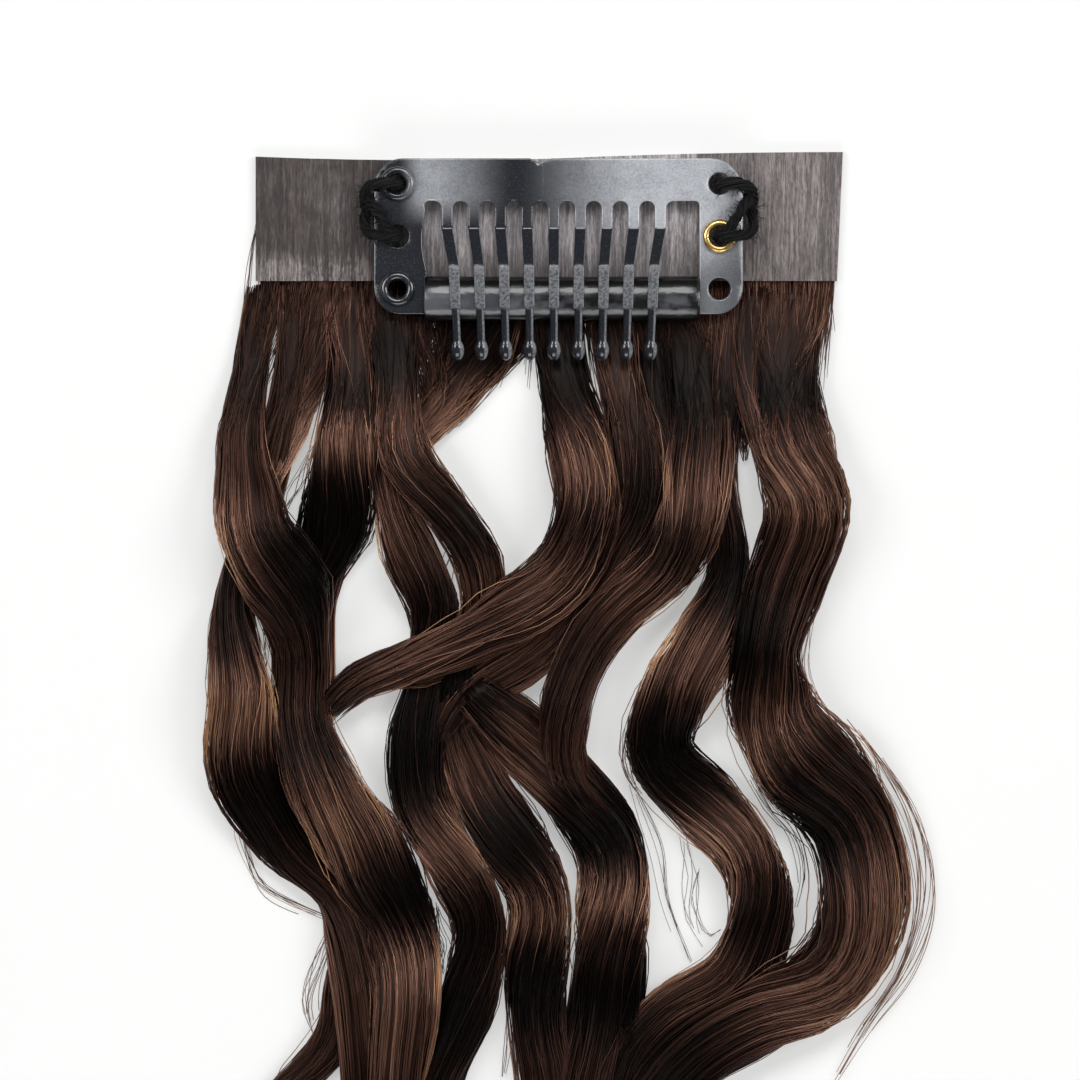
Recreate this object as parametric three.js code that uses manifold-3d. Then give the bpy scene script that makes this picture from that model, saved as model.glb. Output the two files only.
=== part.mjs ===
// Clip-in hair extension: a film weft with wavy locks of hair, and a snap comb sewn to it.
// Millimetres, +Z up. The piece lies flat with its comb upwards. The origin is the middle of
// the weft's underside, +X runs along the weft, and the hair falls away along -Y.

import * as THREE from 'three';
import { mergeVertices } from 'three/addons/utils/BufferGeometryUtils.js';
import Module from 'manifold-3d';

const wasm = await Module();
wasm.setup();

// Fit
const gap = 0.3; // clearance between pieces that touch

// Weft: a strip of film with the hair's ends cast into it
const weftWidth = 51;
const weftHeight = 10.8;
const weftThickness = 0.6;
const weftTopSag = 0.35; // dip of the top edge, left of its middle
const weftSideLean = 0.5; // how far the right side leans in at its foot
const weftTopRise = 0.4; // the top edge's right end, above its left one

// Clip sheet, which the end plates and the comb share
const sheet = 0.5;
const clipLength = 32;
const clipHeight = 13.5;
const clipOffset = 0.8; // the clip's middle, right of the weft's
const clipTopInset = 0.25; // the clip's top edge, below the weft's
const leftPlateWidth = 4.4;
const rightPlateWidth = 3.8;
const cornerRadius = 2.1;

// Holes and eyelets of the end plates
const holePitch = 4.55;
const holeInset = 2.05; // hole centres, in from the clip's ends
const threadHoleRadius = 0.95;
const eyeletBore = 0.78;
const eyeletWall = 0.27;
const eyeletFlange = 0.45; // how far the rolled rim reaches past the shank
const eyeletRim = 0.36; // height of the rolled rim
const brassBore = 0.8;
const brassFlange = 0.4;

// Rubber tube and the bar in it
const tubeWidth = 3.9;
const tubeHeight = 2.7;
const tubeWall = 0.75;
const tubeDrop = 5.4; // the tube's axis, below the clip's middle
const barWidth = 1.3;

// Comb
const topBarHeight = 3.55;
const toothCount = 9;
const toothPitch = 2.31; // at the roots, down to the folds
const crownPitch = 2.16; // where they lie over the tube
const tipPitch = 2.09; // at the tips, which stand closest
const toothShift = -0.4; // the middle tooth, from the clip's middle
const toothWidth = 1;
const rootFillet = 0.6; // radius of the rounded slot ends between the teeth
const foldDrop = 6.1; // from the clip's top edge down to where the teeth bend up
const crownDrop = 9.4; // to where they lie over the tube
const pinDrop = 13; // to where they turn round
const tipDrop = 16.6; // to the middle of the round tips
const tipSink = 1.35; // the tips, below the crown of the teeth
const pinRadius = 0.35;
const tipRadius = 0.6;
const tipStretch = 1.6; // the tips' length, as a share of their width
const notchWidth = 1.9;
const notchDepth = 0.5;
const notchShift = -1.5; // the notch in the top edge, from the clip's middle

// Thread
const threadRadius = 0.45;
const threadSwing = 0.75; // how far a stitch stands out past the clip's end

// Hair
const rootThickness = 0.7;
const rootDepth = 3.4;
const rootInset = 0.7; // the root band's ends, in from the weft's
const rootShift = -0.5;
const hairBody = 69.6; // from the weft to where the tips begin
const tipLength = 20;
const lockThickness = 2.6;
const loft = 5; // height that a share of lift is taken of
const lockStep = 2.9; // distance between a lock's sections
const lockSides = 8;

// A lock's rows run from its root to its end, one or two for each turn of its wave. Their columns:
// across, share of weftWidth from the middle; down, share of hairBody below the weft;
// width, share of weftWidth; lift, share of loft that its underside stands above the floor.
// body is its share of lockThickness. tip gives where its free end lies: across as in the rows,
// and reach, the share of tipLength. A lock without a tip ends inside another one.
const locks = [
  { name: 'outer left', body: 1.0, tip: { across: -0.3, reach: 0.6 }, rows: [
    [-0.485, 0.00, 0.06, 0.00],
    [-0.508, 0.10, 0.07, 0.00],
    [-0.524, 0.20, 0.085, 0.20],
    [-0.500, 0.30, 0.13, 0.70],
    [-0.448, 0.37, 0.15, 0.70],
    [-0.425, 0.46, 0.095, 0.30],
    [-0.422, 0.54, 0.095, 0.30],
    [-0.376, 0.64, 0.13, 0.60],
    [-0.300, 0.71, 0.15, 0.45],
    [-0.255, 0.80, 0.13, 0.10],
    [-0.245, 0.90, 0.12, 0.30],
    [-0.270, 1.00, 0.11, 0.20],
  ] },
  { name: 'under left', body: 1.0, tip: { across: -0.34, reach: 0.8 }, rows: [
    [-0.430, 0.00, 0.06, 0.00],
    [-0.450, 0.15, 0.06, 0.00],
    [-0.500, 0.30, 0.07, 0.00],
    [-0.534, 0.40, 0.07, 0.15],
    [-0.536, 0.46, 0.095, 0.35],
    [-0.527, 0.51, 0.12, 0.50],
    [-0.512, 0.61, 0.135, 0.20],
    [-0.447, 0.69, 0.115, 0.00],
    [-0.352, 0.76, 0.09, 0.00],
    [-0.330, 0.86, 0.09, 0.20],
    [-0.310, 1.00, 0.09, 0.10],
  ] },
  { name: 'veil left', body: 0.4, rows: [
    [-0.395, 0.00, 0.12, 0.00],
    [-0.405, 0.08, 0.11, 0.05],
    [-0.440, 0.16, 0.08, 0.10],
    [-0.490, 0.27, 0.04, 0.45],
  ] },
  { name: 'inner left', body: 0.9, rows: [
    [-0.340, 0.00, 0.10, 0.00],
    [-0.335, 0.10, 0.10, 0.05],
    [-0.345, 0.20, 0.11, 0.25],
    [-0.366, 0.29, 0.13, 0.05],
    [-0.402, 0.38, 0.08, 0.00],
    [-0.400, 0.48, 0.07, 0.10],
    [-0.400, 0.58, 0.07, 0.25],
  ] },
  { name: 'fan', body: 0.35, rows: [
    [-0.100, 0.00, 0.20, 0.00],
    [-0.115, 0.06, 0.18, 0.00],
    [-0.160, 0.12, 0.115, 0.03],
    [-0.215, 0.185, 0.06, 0.10],
    [-0.262, 0.235, 0.035, 0.20],
  ] },
  { name: 'hook', body: 0.8, rows: [
    [-0.275, 0.00, 0.09, 0.00],
    [-0.265, 0.11, 0.09, 0.10],
    [-0.245, 0.21, 0.09, 0.35],
    [-0.172, 0.285, 0.075, 0.45],
    [-0.119, 0.35, 0.084, 0.25],
    [-0.120, 0.42, 0.07, 0.15],
    [-0.190, 0.47, 0.07, 0.30],
    [-0.290, 0.49, 0.05, 0.40],
  ] },
  { name: 'middle left', body: 0.9, tip: { across: -0.21, reach: 0.5 }, rows: [
    [-0.300, 0.00, 0.06, 0.00],
    [-0.290, 0.14, 0.05, 0.00],
    [-0.266, 0.26, 0.07, 0.05],
    [-0.236, 0.34, 0.096, 0.15],
    [-0.196, 0.41, 0.09, 0.00],
    [-0.205, 0.49, 0.08, 0.00],
    [-0.228, 0.57, 0.10, 0.10],
    [-0.222, 0.64, 0.10, 0.10],
    [-0.158, 0.73, 0.10, 0.35],
    [-0.120, 0.80, 0.09, 0.15],
    [-0.138, 0.89, 0.105, 0.05],
    [-0.190, 1.00, 0.08, 0.10],
  ] },
  { name: 'middle', body: 0.9, tip: { across: 0.03, reach: 0.9 }, rows: [
    [-0.150, 0.46, 0.07, 0.35],
    [-0.160, 0.54, 0.07, 0.00],
    [-0.125, 0.62, 0.11, 0.05],
    [-0.068, 0.69, 0.12, 0.25],
    [-0.021, 0.76, 0.11, 0.30],
    [-0.022, 0.84, 0.11, 0.10],
    [-0.018, 0.93, 0.10, 0.10],
    [-0.002, 1.00, 0.105, 0.10],
  ] },
  { name: 'lower centre', body: 1.0, tip: { across: 0.06, reach: 1.0 }, rows: [
    [-0.130, 0.50, 0.09, 0.30],
    [-0.040, 0.57, 0.13, 0.05],
    [0.040, 0.63, 0.12, 0.25],
    [0.100, 0.70, 0.12, 0.10],
    [0.106, 0.79, 0.125, 0.35],
    [0.099, 0.88, 0.135, 0.05],
    [0.075, 1.00, 0.135, 0.10],
  ] },
  { name: 'sweep', body: 1.0, rows: [
    [0.010, 0.00, 0.09, 0.00],
    [0.020, 0.09, 0.10, 0.00],
    [0.045, 0.20, 0.12, 0.30],
    [0.062, 0.28, 0.12, 0.45],
    [0.035, 0.345, 0.12, 0.40],
    [-0.045, 0.40, 0.12, 0.50],
    [-0.135, 0.445, 0.09, 0.55],
    [-0.245, 0.472, 0.075, 0.45],
    [-0.330, 0.496, 0.065, 0.25],
    [-0.390, 0.54, 0.05, 0.15],
  ] },
  { name: 'under sweep', body: 0.9, rows: [
    [0.100, 0.00, 0.09, 0.00],
    [0.115, 0.10, 0.09, 0.00],
    [0.148, 0.20, 0.09, 0.20],
    [0.150, 0.28, 0.09, 0.25],
    [0.105, 0.35, 0.10, 0.15],
    [0.030, 0.41, 0.11, 0.15],
    [-0.060, 0.465, 0.11, 0.25],
    [-0.145, 0.515, 0.09, 0.10],
    [-0.190, 0.57, 0.07, 0.05],
  ] },
  { name: 'filler', body: 0.7, rows: [
    [0.170, 0.00, 0.07, 0.00],
    [0.178, 0.12, 0.07, 0.00],
    [0.195, 0.22, 0.07, 0.20],
    [0.190, 0.30, 0.07, 0.20],
    [0.140, 0.37, 0.07, 0.20],
  ] },
  { name: 'centre right', body: 1.0, rows: [
    [0.235, 0.00, 0.10, 0.00],
    [0.240, 0.10, 0.11, 0.00],
    [0.255, 0.20, 0.12, 0.20],
    [0.248, 0.28, 0.12, 0.50],
    [0.200, 0.345, 0.11, 0.45],
    [0.120, 0.40, 0.10, 0.30],
    [0.060, 0.46, 0.09, 0.35],
    [0.025, 0.53, 0.09, 0.45],
    [0.032, 0.60, 0.08, 0.30],
    [0.095, 0.67, 0.08, 0.20],
  ] },
  { name: 'inner right', body: 1.0, tip: { across: 0.09, reach: 0.8 }, rows: [
    [0.310, 0.00, 0.06, 0.00],
    [0.300, 0.12, 0.07, 0.00],
    [0.290, 0.24, 0.055, 0.05],
    [0.304, 0.35, 0.07, 0.00],
    [0.275, 0.44, 0.12, 0.25],
    [0.215, 0.51, 0.12, 0.35],
    [0.187, 0.58, 0.12, 0.05],
    [0.268, 0.65, 0.126, 0.05],
    [0.342, 0.72, 0.11, 0.35],
    [0.362, 0.79, 0.11, 0.10],
    [0.322, 0.865, 0.12, 0.00],
    [0.210, 0.915, 0.115, 0.00],
    [0.110, 1.00, 0.10, 0.10],
  ] },
  { name: 'outer right', body: 1.1, tip: { across: 0.13, reach: 0.7 }, rows: [
    [0.415, 0.00, 0.14, 0.00],
    [0.398, 0.10, 0.14, 0.05],
    [0.413, 0.20, 0.15, 0.15],
    [0.435, 0.28, 0.148, 0.45],
    [0.400, 0.37, 0.136, 0.30],
    [0.365, 0.46, 0.115, 0.45],
    [0.378, 0.53, 0.155, 0.20],
    [0.442, 0.60, 0.19, 0.35],
    [0.516, 0.68, 0.155, 0.10],
    [0.533, 0.77, 0.156, 0.30],
    [0.481, 0.855, 0.15, 0.25],
    [0.350, 0.915, 0.13, 0.35],
    [0.235, 0.965, 0.13, 0.30],
    [0.170, 1.03, 0.12, 0.20],
  ] },
  { name: 'ridge right', body: 0.6, rows: [
    [0.350, 0.00, 0.06, 0.00],
    [0.335, 0.12, 0.06, 0.15],
    [0.372, 0.21, 0.055, 0.30],
    [0.398, 0.285, 0.045, 0.50],
    [0.378, 0.35, 0.045, 0.45],
    [0.335, 0.43, 0.06, 0.40],
    [0.335, 0.51, 0.05, 0.45],
  ] },
  { name: 'flick left', body: 0.7, tip: { across: -0.56, reach: 0.25 }, rows: [
    [-0.310, 0.78, 0.07, 0.20],
    [-0.342, 0.87, 0.08, 0.20],
    [-0.358, 0.93, 0.08, 0.05],
    [-0.410, 0.98, 0.07, 0.00],
    [-0.490, 1.04, 0.05, 0.00],
  ] },
];

// Places worked out from the sizes
const weftFoot = -weftHeight / 2;
const clipTop = weftHeight / 2 - clipTopInset;
const clipMiddle = clipTop - clipHeight / 2;
const clipLeft = clipOffset - clipLength / 2;
const clipRight = clipOffset + clipLength / 2;
const windowLeft = clipLeft + leftPlateWidth;
const windowRight = clipRight - rightPlateWidth;
const tubeY = clipMiddle - tubeDrop;
const sheetZ = Math.max(weftThickness, rootThickness) + gap + tubeHeight / 2;
const crownZ = sheetZ + tubeHeight / 2 + gap + sheet / 2;
const toothMiddle = clipOffset + toothShift;
const hairTop = weftFoot - gap;
const leftHoleX = clipLeft + holeInset;
const rightHoleX = clipRight - holeInset;
const holeRows = { upper: clipMiddle + holePitch, middle: clipMiddle, lower: clipMiddle - holePitch };
const shankRadius = eyeletBore + eyeletWall;
const brassShankRadius = brassBore + eyeletWall;

// Turned faces: a side profile drawn as (y, z) and extruded along x
const alongX = new THREE.Matrix4().makeBasis(
  new THREE.Vector3(0, 1, 0),
  new THREE.Vector3(0, 0, 1),
  new THREE.Vector3(1, 0, 0),
);

/** Six times the volume inside a closed triangle mesh, negative if it is inside out. */
function signedVolume(position, index) {
  const a = new THREE.Vector3();
  const b = new THREE.Vector3();
  const c = new THREE.Vector3();
  let sum = 0;
  for (let i = 0; i < index.length; i += 3) {
    a.fromBufferAttribute(position, index[i]);
    b.fromBufferAttribute(position, index[i + 1]);
    c.fromBufferAttribute(position, index[i + 2]);
    sum += a.dot(b.cross(c));
  }
  return sum;
}

/** A closed geometry as a solid for joining and cutting. */
function toSolid(geometry) {
  const bare = new THREE.BufferGeometry();
  bare.setAttribute('position', geometry.getAttribute('position').clone());
  if (geometry.index) bare.setIndex(geometry.index.clone());
  const merged = mergeVertices(bare, 1e-4);
  const index = Array.from(merged.index.array);
  const triangles = [];
  for (let i = 0; i < index.length; i += 3) {
    const [a, b, c] = index.slice(i, i + 3);
    if (a !== b && b !== c && c !== a) triangles.push(a, b, c);
  }
  if (signedVolume(merged.getAttribute('position'), triangles) < 0) triangles.reverse();
  return new wasm.Manifold(new wasm.Mesh({
    numProp: 3,
    vertProperties: new Float32Array(merged.getAttribute('position').array),
    triVerts: new Uint32Array(triangles),
  }));
}

/** A solid back as a geometry. */
function toGeometry(solid) {
  const { vertProperties, triVerts } = solid.getMesh();
  const geometry = new THREE.BufferGeometry();
  geometry.setAttribute('position', new THREE.BufferAttribute(new Float32Array(vertProperties), 3));
  geometry.setIndex(new THREE.BufferAttribute(new Uint32Array(triVerts), 1));
  geometry.computeVertexNormals();
  return geometry;
}

/** All the geometries joined into one. */
function join(geometries) {
  return toGeometry(geometries.map(toSolid).reduce((whole, piece) => whole.add(piece)));
}

/** A flat outline made into a sheet whose middle lies at height z. */
function sheetFrom(outline, thickness, z, curveSegments = 6) {
  const geometry = new THREE.ExtrudeGeometry(outline, { depth: thickness, bevelEnabled: false, curveSegments });
  return geometry.translate(0, 0, z - thickness / 2);
}

/** A polyline of [y, z] points given height, extruded along x from the given start. */
function stripAlongX(points, height, width) {
  const upper = points.map(([y, z]) => new THREE.Vector2(y, z + height / 2));
  const lower = points.map(([y, z]) => new THREE.Vector2(y, z - height / 2)).reverse();
  const geometry = new THREE.ExtrudeGeometry(new THREE.Shape([...upper, ...lower]), {
    depth: width,
    bevelEnabled: false,
  });
  return geometry.translate(0, 0, -width / 2).applyMatrix4(alongX);
}

/** A round hole in an outline. */
function hole(outline, x, y, radius) {
  const path = new THREE.Path();
  path.absarc(x, y, radius, 0, Math.PI * 2, true);
  outline.holes.push(path);
}

/** The film strip, its top edge dipping gently and its right side leaning in at the foot. */
function weftGeometry() {
  const half = weftWidth / 2;
  const top = weftHeight / 2;
  const outline = new THREE.Shape();
  outline.moveTo(-half, weftFoot);
  outline.lineTo(half - weftSideLean, weftFoot);
  outline.lineTo(half, top + weftTopRise);
  outline.quadraticCurveTo(half / 2, top + weftTopRise, 0, top - weftTopSag / 2);
  outline.quadraticCurveTo(-half / 2, top - weftTopSag * 1.5, -half, top);
  outline.closePath();
  return sheetFrom(outline, weftThickness, weftThickness / 2);
}

/**
 * The outline of an end plate with round outer corners.
 * outer and inner are the x of its outer and inner edge, on either side.
 */
function plateOutline(outer, inner) {
  const turn = Math.sign(inner - outer);
  const r = cornerRadius;
  const foot = clipTop - clipHeight;
  const outline = new THREE.Shape();
  outline.moveTo(inner, clipTop);
  outline.lineTo(outer + turn * r, clipTop);
  outline.quadraticCurveTo(outer + turn * r * 0.2, clipTop - r * 0.2, outer, clipTop - r);
  outline.lineTo(outer, foot + r);
  outline.quadraticCurveTo(outer + turn * r * 0.2, foot + r * 0.2, outer + turn * r, foot);
  outline.lineTo(inner, foot);
  const points = outline.getPoints(6);
  if (THREE.ShapeUtils.isClockWise(points)) points.reverse();
  return new THREE.Shape(points);
}

/** Both end plates with their holes, and the bar between their lower lobes. */
function frameGeometry() {
  const left = plateOutline(clipLeft, windowLeft);
  hole(left, leftHoleX, holeRows.upper, shankRadius + gap);
  hole(left, leftHoleX, holeRows.middle, threadHoleRadius);
  hole(left, leftHoleX, holeRows.lower, shankRadius + gap);
  const right = plateOutline(clipRight, windowRight);
  hole(right, rightHoleX, holeRows.upper, threadHoleRadius);
  hole(right, rightHoleX, holeRows.middle, brassShankRadius + gap);
  hole(right, rightHoleX, holeRows.lower, threadHoleRadius);
  const barLength = windowRight - windowLeft + sheet * 2;
  const bar = new THREE.BoxGeometry(barLength, barWidth, sheet);
  bar.translate((windowLeft + windowRight) / 2, tubeY, sheetZ);
  return join([sheetFrom(left, sheet, sheetZ), sheetFrom(right, sheet, sheetZ), bar]);
}

/** The comb's top bar, in the plane of the end plates, with its notch and the slot ends. */
function topBarGeometry() {
  const left = windowLeft + gap;
  const right = windowRight - gap;
  const foot = clipTop - topBarHeight;
  const notch = clipOffset + notchShift;
  const outline = new THREE.Shape();
  outline.moveTo(left, foot);
  for (let i = 0; i < toothCount; i += 1) {
    const x = toothX(i, foot);
    outline.lineTo(x - toothWidth / 2 - rootFillet, foot);
    outline.quadraticCurveTo(x - toothWidth / 2, foot, x - toothWidth / 2, foot - rootFillet);
    outline.lineTo(x + toothWidth / 2, foot - rootFillet);
    outline.quadraticCurveTo(x + toothWidth / 2, foot, x + toothWidth / 2 + rootFillet, foot);
  }
  outline.lineTo(right, foot);
  outline.lineTo(right, clipTop);
  outline.lineTo(notch + notchWidth / 2, clipTop);
  outline.quadraticCurveTo(notch, clipTop - notchDepth * 2, notch - notchWidth / 2, clipTop);
  outline.lineTo(left, clipTop);
  outline.closePath();
  return sheetFrom(outline, sheet, sheetZ, 4);
}

/** How far tooth i stands from the comb's middle, counted in teeth. */
function toothPlace(i) {
  return i - (toothCount - 1) / 2;
}

/** The x of tooth i at a height y: it leans in below its fold, and a little more past its crown. */
function toothX(i, y) {
  const folded = THREE.MathUtils.clamp((clipTop - foldDrop - y) / (crownDrop - foldDrop), 0, 1);
  const passed = THREE.MathUtils.clamp((clipTop - crownDrop - y) / (tipDrop - crownDrop), 0, 1);
  const toCrown = THREE.MathUtils.lerp(toothPitch, crownPitch, folded);
  return toothMiddle + toothPlace(i) * THREE.MathUtils.lerp(toCrown, tipPitch, passed);
}

/** One flat tooth: in the sheet's plane to its fold, then up and level over the tube. */
function toothStripGeometry(i) {
  const rows = [
    [clipTop - topBarHeight + sheet, sheetZ],
    [clipTop - foldDrop, sheetZ],
    [clipTop - crownDrop, crownZ],
    [clipTop - pinDrop, crownZ],
  ];
  const strip = stripAlongX(rows, sheet, toothWidth);
  const position = strip.getAttribute('position');
  for (let k = 0; k < position.count; k += 1) {
    position.setX(k, position.getX(k) + toothX(i, position.getY(k)));
  }
  return strip;
}

/** The round end of a tooth: a pin that dips past the tube, and its drop-shaped tip. */
function toothPinGeometry(i) {
  const startY = clipTop - pinDrop + tipRadius;
  const endY = clipTop - tipDrop;
  const start = new THREE.Vector3(toothX(i, startY), startY, crownZ);
  const end = new THREE.Vector3(toothX(i, endY), endY, crownZ - tipSink);
  const length = start.distanceTo(end);
  const tipHalf = tipRadius * tipStretch;
  const tipSteps = 5;
  const neck = Math.asin(pinRadius / tipRadius);
  const profile = [new THREE.Vector2(0, 0), new THREE.Vector2(pinRadius * 0.6, 0)];
  for (let k = 0; k < tipSteps; k += 1) {
    const angle = THREE.MathUtils.lerp(neck, Math.PI, k / tipSteps);
    profile.push(new THREE.Vector2(tipRadius * Math.sin(angle), length - tipHalf * Math.cos(angle)));
  }
  profile.push(new THREE.Vector2(0, length + tipHalf));
  const pin = new THREE.LatheGeometry(profile, 8);
  const direction = end.clone().sub(start).normalize();
  pin.applyQuaternion(new THREE.Quaternion().setFromUnitVectors(new THREE.Vector3(0, 1, 0), direction));
  return pin.translate(start.x, start.y, start.z);
}

/** The whole comb. */
function combGeometry() {
  const pieces = [topBarGeometry()];
  for (let i = 0; i < toothCount; i += 1) {
    pieces.push(toothStripGeometry(i), toothPinGeometry(i));
  }
  return join(pieces);
}

/** The soft tube, flattened a little between the teeth and the weft. */
function tubeGeometry() {
  const outline = new THREE.Shape();
  outline.absellipse(tubeY, sheetZ, tubeWidth / 2, tubeHeight / 2, 0, Math.PI * 2, false);
  const bore = new THREE.Path();
  bore.absellipse(tubeY, sheetZ, tubeWidth / 2 - tubeWall, tubeHeight / 2 - tubeWall, 0, Math.PI * 2, true);
  outline.holes.push(bore);
  const length = windowRight - windowLeft - gap * 2;
  const tube = new THREE.ExtrudeGeometry(outline, { depth: length, bevelEnabled: false, curveSegments: 10 });
  return tube.applyMatrix4(alongX).translate(windowLeft + gap, 0, 0);
}

/** An eyelet about the z axis: a shank through the sheet with a rolled rim on each side. */
function eyeletGeometry(bore, flange) {
  const shank = bore + eyeletWall;
  const rim = shank + flange;
  const seat = sheet / 2 + gap / 2;
  const crest = seat + eyeletRim;
  const profile = [
    [bore, -crest],
    [shank + flange * 0.4, -crest],
    [rim, -seat - eyeletRim * 0.4],
    [rim, -seat],
    [shank, -seat],
    [shank, seat],
    [rim, seat],
    [rim, seat + eyeletRim * 0.4],
    [shank + flange * 0.4, crest],
    [bore, crest],
    [bore, -crest],
  ].map(([radius, height]) => new THREE.Vector2(radius, height));
  return new THREE.LatheGeometry(profile, 18).rotateX(Math.PI / 2);
}

/**
 * A stitch from one hole over the clip's end to the next, its two ends going down to the weft.
 * x is that of the holes, edge the clip's end, and fromY and toY the heights of the two holes.
 */
function stitchGeometry(x, edge, fromY, toY, fromTop, toTop) {
  const out = edge + Math.sign(edge - x) * threadSwing;
  const between = (x + edge) / 2;
  const footZ = weftThickness + gap + threadRadius * 0.2;
  const third = (fromY - toY) / 3;
  const route = new THREE.CatmullRomCurve3([
    new THREE.Vector3(x, fromY, footZ),
    new THREE.Vector3(x, fromY, sheetZ),
    new THREE.Vector3(THREE.MathUtils.lerp(x, between, 0.3), fromY, fromTop),
    new THREE.Vector3(THREE.MathUtils.lerp(between, edge, 0.6), fromY, fromTop),
    new THREE.Vector3(out, fromY - third * 0.4, sheetZ),
    new THREE.Vector3(out, (fromY + toY) / 2, weftThickness + gap + threadRadius * 1.6),
    new THREE.Vector3(out, toY + third * 0.4, sheetZ),
    new THREE.Vector3(THREE.MathUtils.lerp(between, edge, 0.6), toY, toTop),
    new THREE.Vector3(THREE.MathUtils.lerp(x, between, 0.3), toY, toTop),
    new THREE.Vector3(x, toY, sheetZ),
    new THREE.Vector3(x, toY, footZ),
  ], false, 'centripetal');
  const section = new THREE.Shape();
  section.absarc(0, 0, threadRadius, 0, Math.PI * 2, false);
  return new THREE.ExtrudeGeometry(section, { steps: 36, curveSegments: 4, extrudePath: route });
}

/** The points, widths and thicknesses of a lock, from its rows. */
function lockStations({ body, tip, rows }) {
  const full = lockThickness * body;
  const start = rows[0][1];
  const points = rows.map(([across, down, , lift]) => {
    const rooted = THREE.MathUtils.smoothstep(down, 0.03, 0.2);
    const thickness = THREE.MathUtils.lerp(Math.min(rootThickness, full), full, start > 0 ? 1 : rooted);
    const x = across * weftWidth;
    return new THREE.Vector3(x, hairTop - down * hairBody, lift * loft + thickness / 2);
  });
  const widths = rows.map(([, , width]) => width * weftWidth);
  if (tip) {
    const tipY = Math.min(points.at(-1).y, hairTop - hairBody) - tip.reach * tipLength;
    points.push(new THREE.Vector3(tip.across * weftWidth, tipY, full / 4));
    widths.push(widths.at(-1) * 0.25);
  }
  const curve = new THREE.CatmullRomCurve3(points, false, 'centripetal');
  const count = Math.max(4, Math.round(curve.getLength() / lockStep));
  const stations = [];
  for (let k = 0; k <= count; k += 1) {
    const t = curve.getUtoTmapping(k / count);
    const place = t * (points.length - 1);
    const row = Math.min(points.length - 2, Math.floor(place));
    const point = curve.getPoint(t);
    const share = THREE.MathUtils.smoothstep(place - row, 0, 1);
    const down = (hairTop - point.y) / hairBody;
    const rooted = start > 0 ? 1 : THREE.MathUtils.smoothstep(down, 0.03, 0.2);
    const taper = tip ? 1 - 0.6 * THREE.MathUtils.smoothstep(k / count, 0.85, 1) : 1;
    stations.push({
      point,
      tangent: curve.getTangent(t),
      width: THREE.MathUtils.lerp(widths[row], widths[row + 1], share),
      thickness: THREE.MathUtils.lerp(Math.min(rootThickness, full), full, rooted) * taper,
      rooted: start > 0 ? 1 : THREE.MathUtils.smoothstep(down, 0, 0.06),
    });
  }
  return stations;
}

/** One lock: flattened round sections along its wave, none lower than the floor. */
function lockGeometry(lock) {
  const stations = lockStations(lock);
  const vertices = [];
  const index = [];
  stations.forEach(({ point, tangent, width, thickness, rooted }, k) => {
    const before = stations[Math.max(0, k - 1)].tangent;
    const after = stations[Math.min(stations.length - 1, k + 1)].tangent;
    const flow = tangent.clone().add(before).add(after);
    const side = new THREE.Vector2(-flow.y, flow.x).normalize();
    side.x = THREE.MathUtils.lerp(1, side.x, rooted);
    side.y = THREE.MathUtils.lerp(0, side.y, rooted);
    side.normalize();
    const z = Math.max(point.z, thickness / 2);
    for (let s = 0; s < lockSides; s += 1) {
      const angle = ((s + 0.5) / lockSides) * Math.PI * 2;
      const reach = (Math.cos(angle) * width) / 2 / Math.cos(Math.PI / lockSides);
      const rise = (Math.sin(angle) * thickness) / 2 / Math.cos(Math.PI / lockSides);
      vertices.push(point.x + side.x * reach, point.y + side.y * reach, z + rise);
    }
  });
  const last = (stations.length - 1) * lockSides;
  for (let k = 0; k < stations.length - 1; k += 1) {
    for (let s = 0; s < lockSides; s += 1) {
      const a = k * lockSides + s;
      const b = k * lockSides + ((s + 1) % lockSides);
      index.push(a, b, a + lockSides, b, b + lockSides, a + lockSides);
    }
  }
  for (let s = 1; s < lockSides - 1; s += 1) {
    index.push(0, s + 1, s, last, last + s, last + s + 1);
  }
  const geometry = new THREE.BufferGeometry();
  geometry.setAttribute('position', new THREE.BufferAttribute(new Float32Array(vertices), 3));
  geometry.setIndex(index);
  return geometry;
}

/** All the hair: the thin root band under the weft's lower edge, and the locks fused to it. */
function hairGeometry() {
  const band = new THREE.BoxGeometry(weftWidth - rootInset * 2, rootDepth, rootThickness);
  band.translate(rootShift, hairTop - rootDepth / 2, rootThickness / 2);
  return join([band, ...locks.map(lockGeometry)]);
}

const film = new THREE.MeshStandardMaterial({ color: 0x5a504c, roughness: 0.4, metalness: 0 });
const paintedSteel = new THREE.MeshStandardMaterial({ color: 0x17191c, roughness: 0.35, metalness: 0.3 });
const rubber = new THREE.MeshStandardMaterial({ color: 0x0b0b0d, roughness: 0.3, metalness: 0 });
const brass = new THREE.MeshStandardMaterial({ color: 0xc9a04a, roughness: 0.3, metalness: 1 });
const thread = new THREE.MeshStandardMaterial({ color: 0x0a0a0b, roughness: 0.9, metalness: 0 });
const brownHair = new THREE.MeshStandardMaterial({ color: 0x3c261c, roughness: 0.45, metalness: 0 });

const group = new THREE.Group();

/** Adds one named piece to the model at a place. */
function add(name, geometry, material, x = 0, y = 0, z = 0) {
  const mesh = new THREE.Mesh(geometry, material);
  mesh.name = name;
  mesh.position.set(x, y, z);
  group.add(mesh);
}

const rimTop = sheetZ + sheet / 2 + gap / 2 + eyeletRim + gap + threadRadius;
const plateTop = sheetZ + sheet / 2 + gap + threadRadius;

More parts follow.
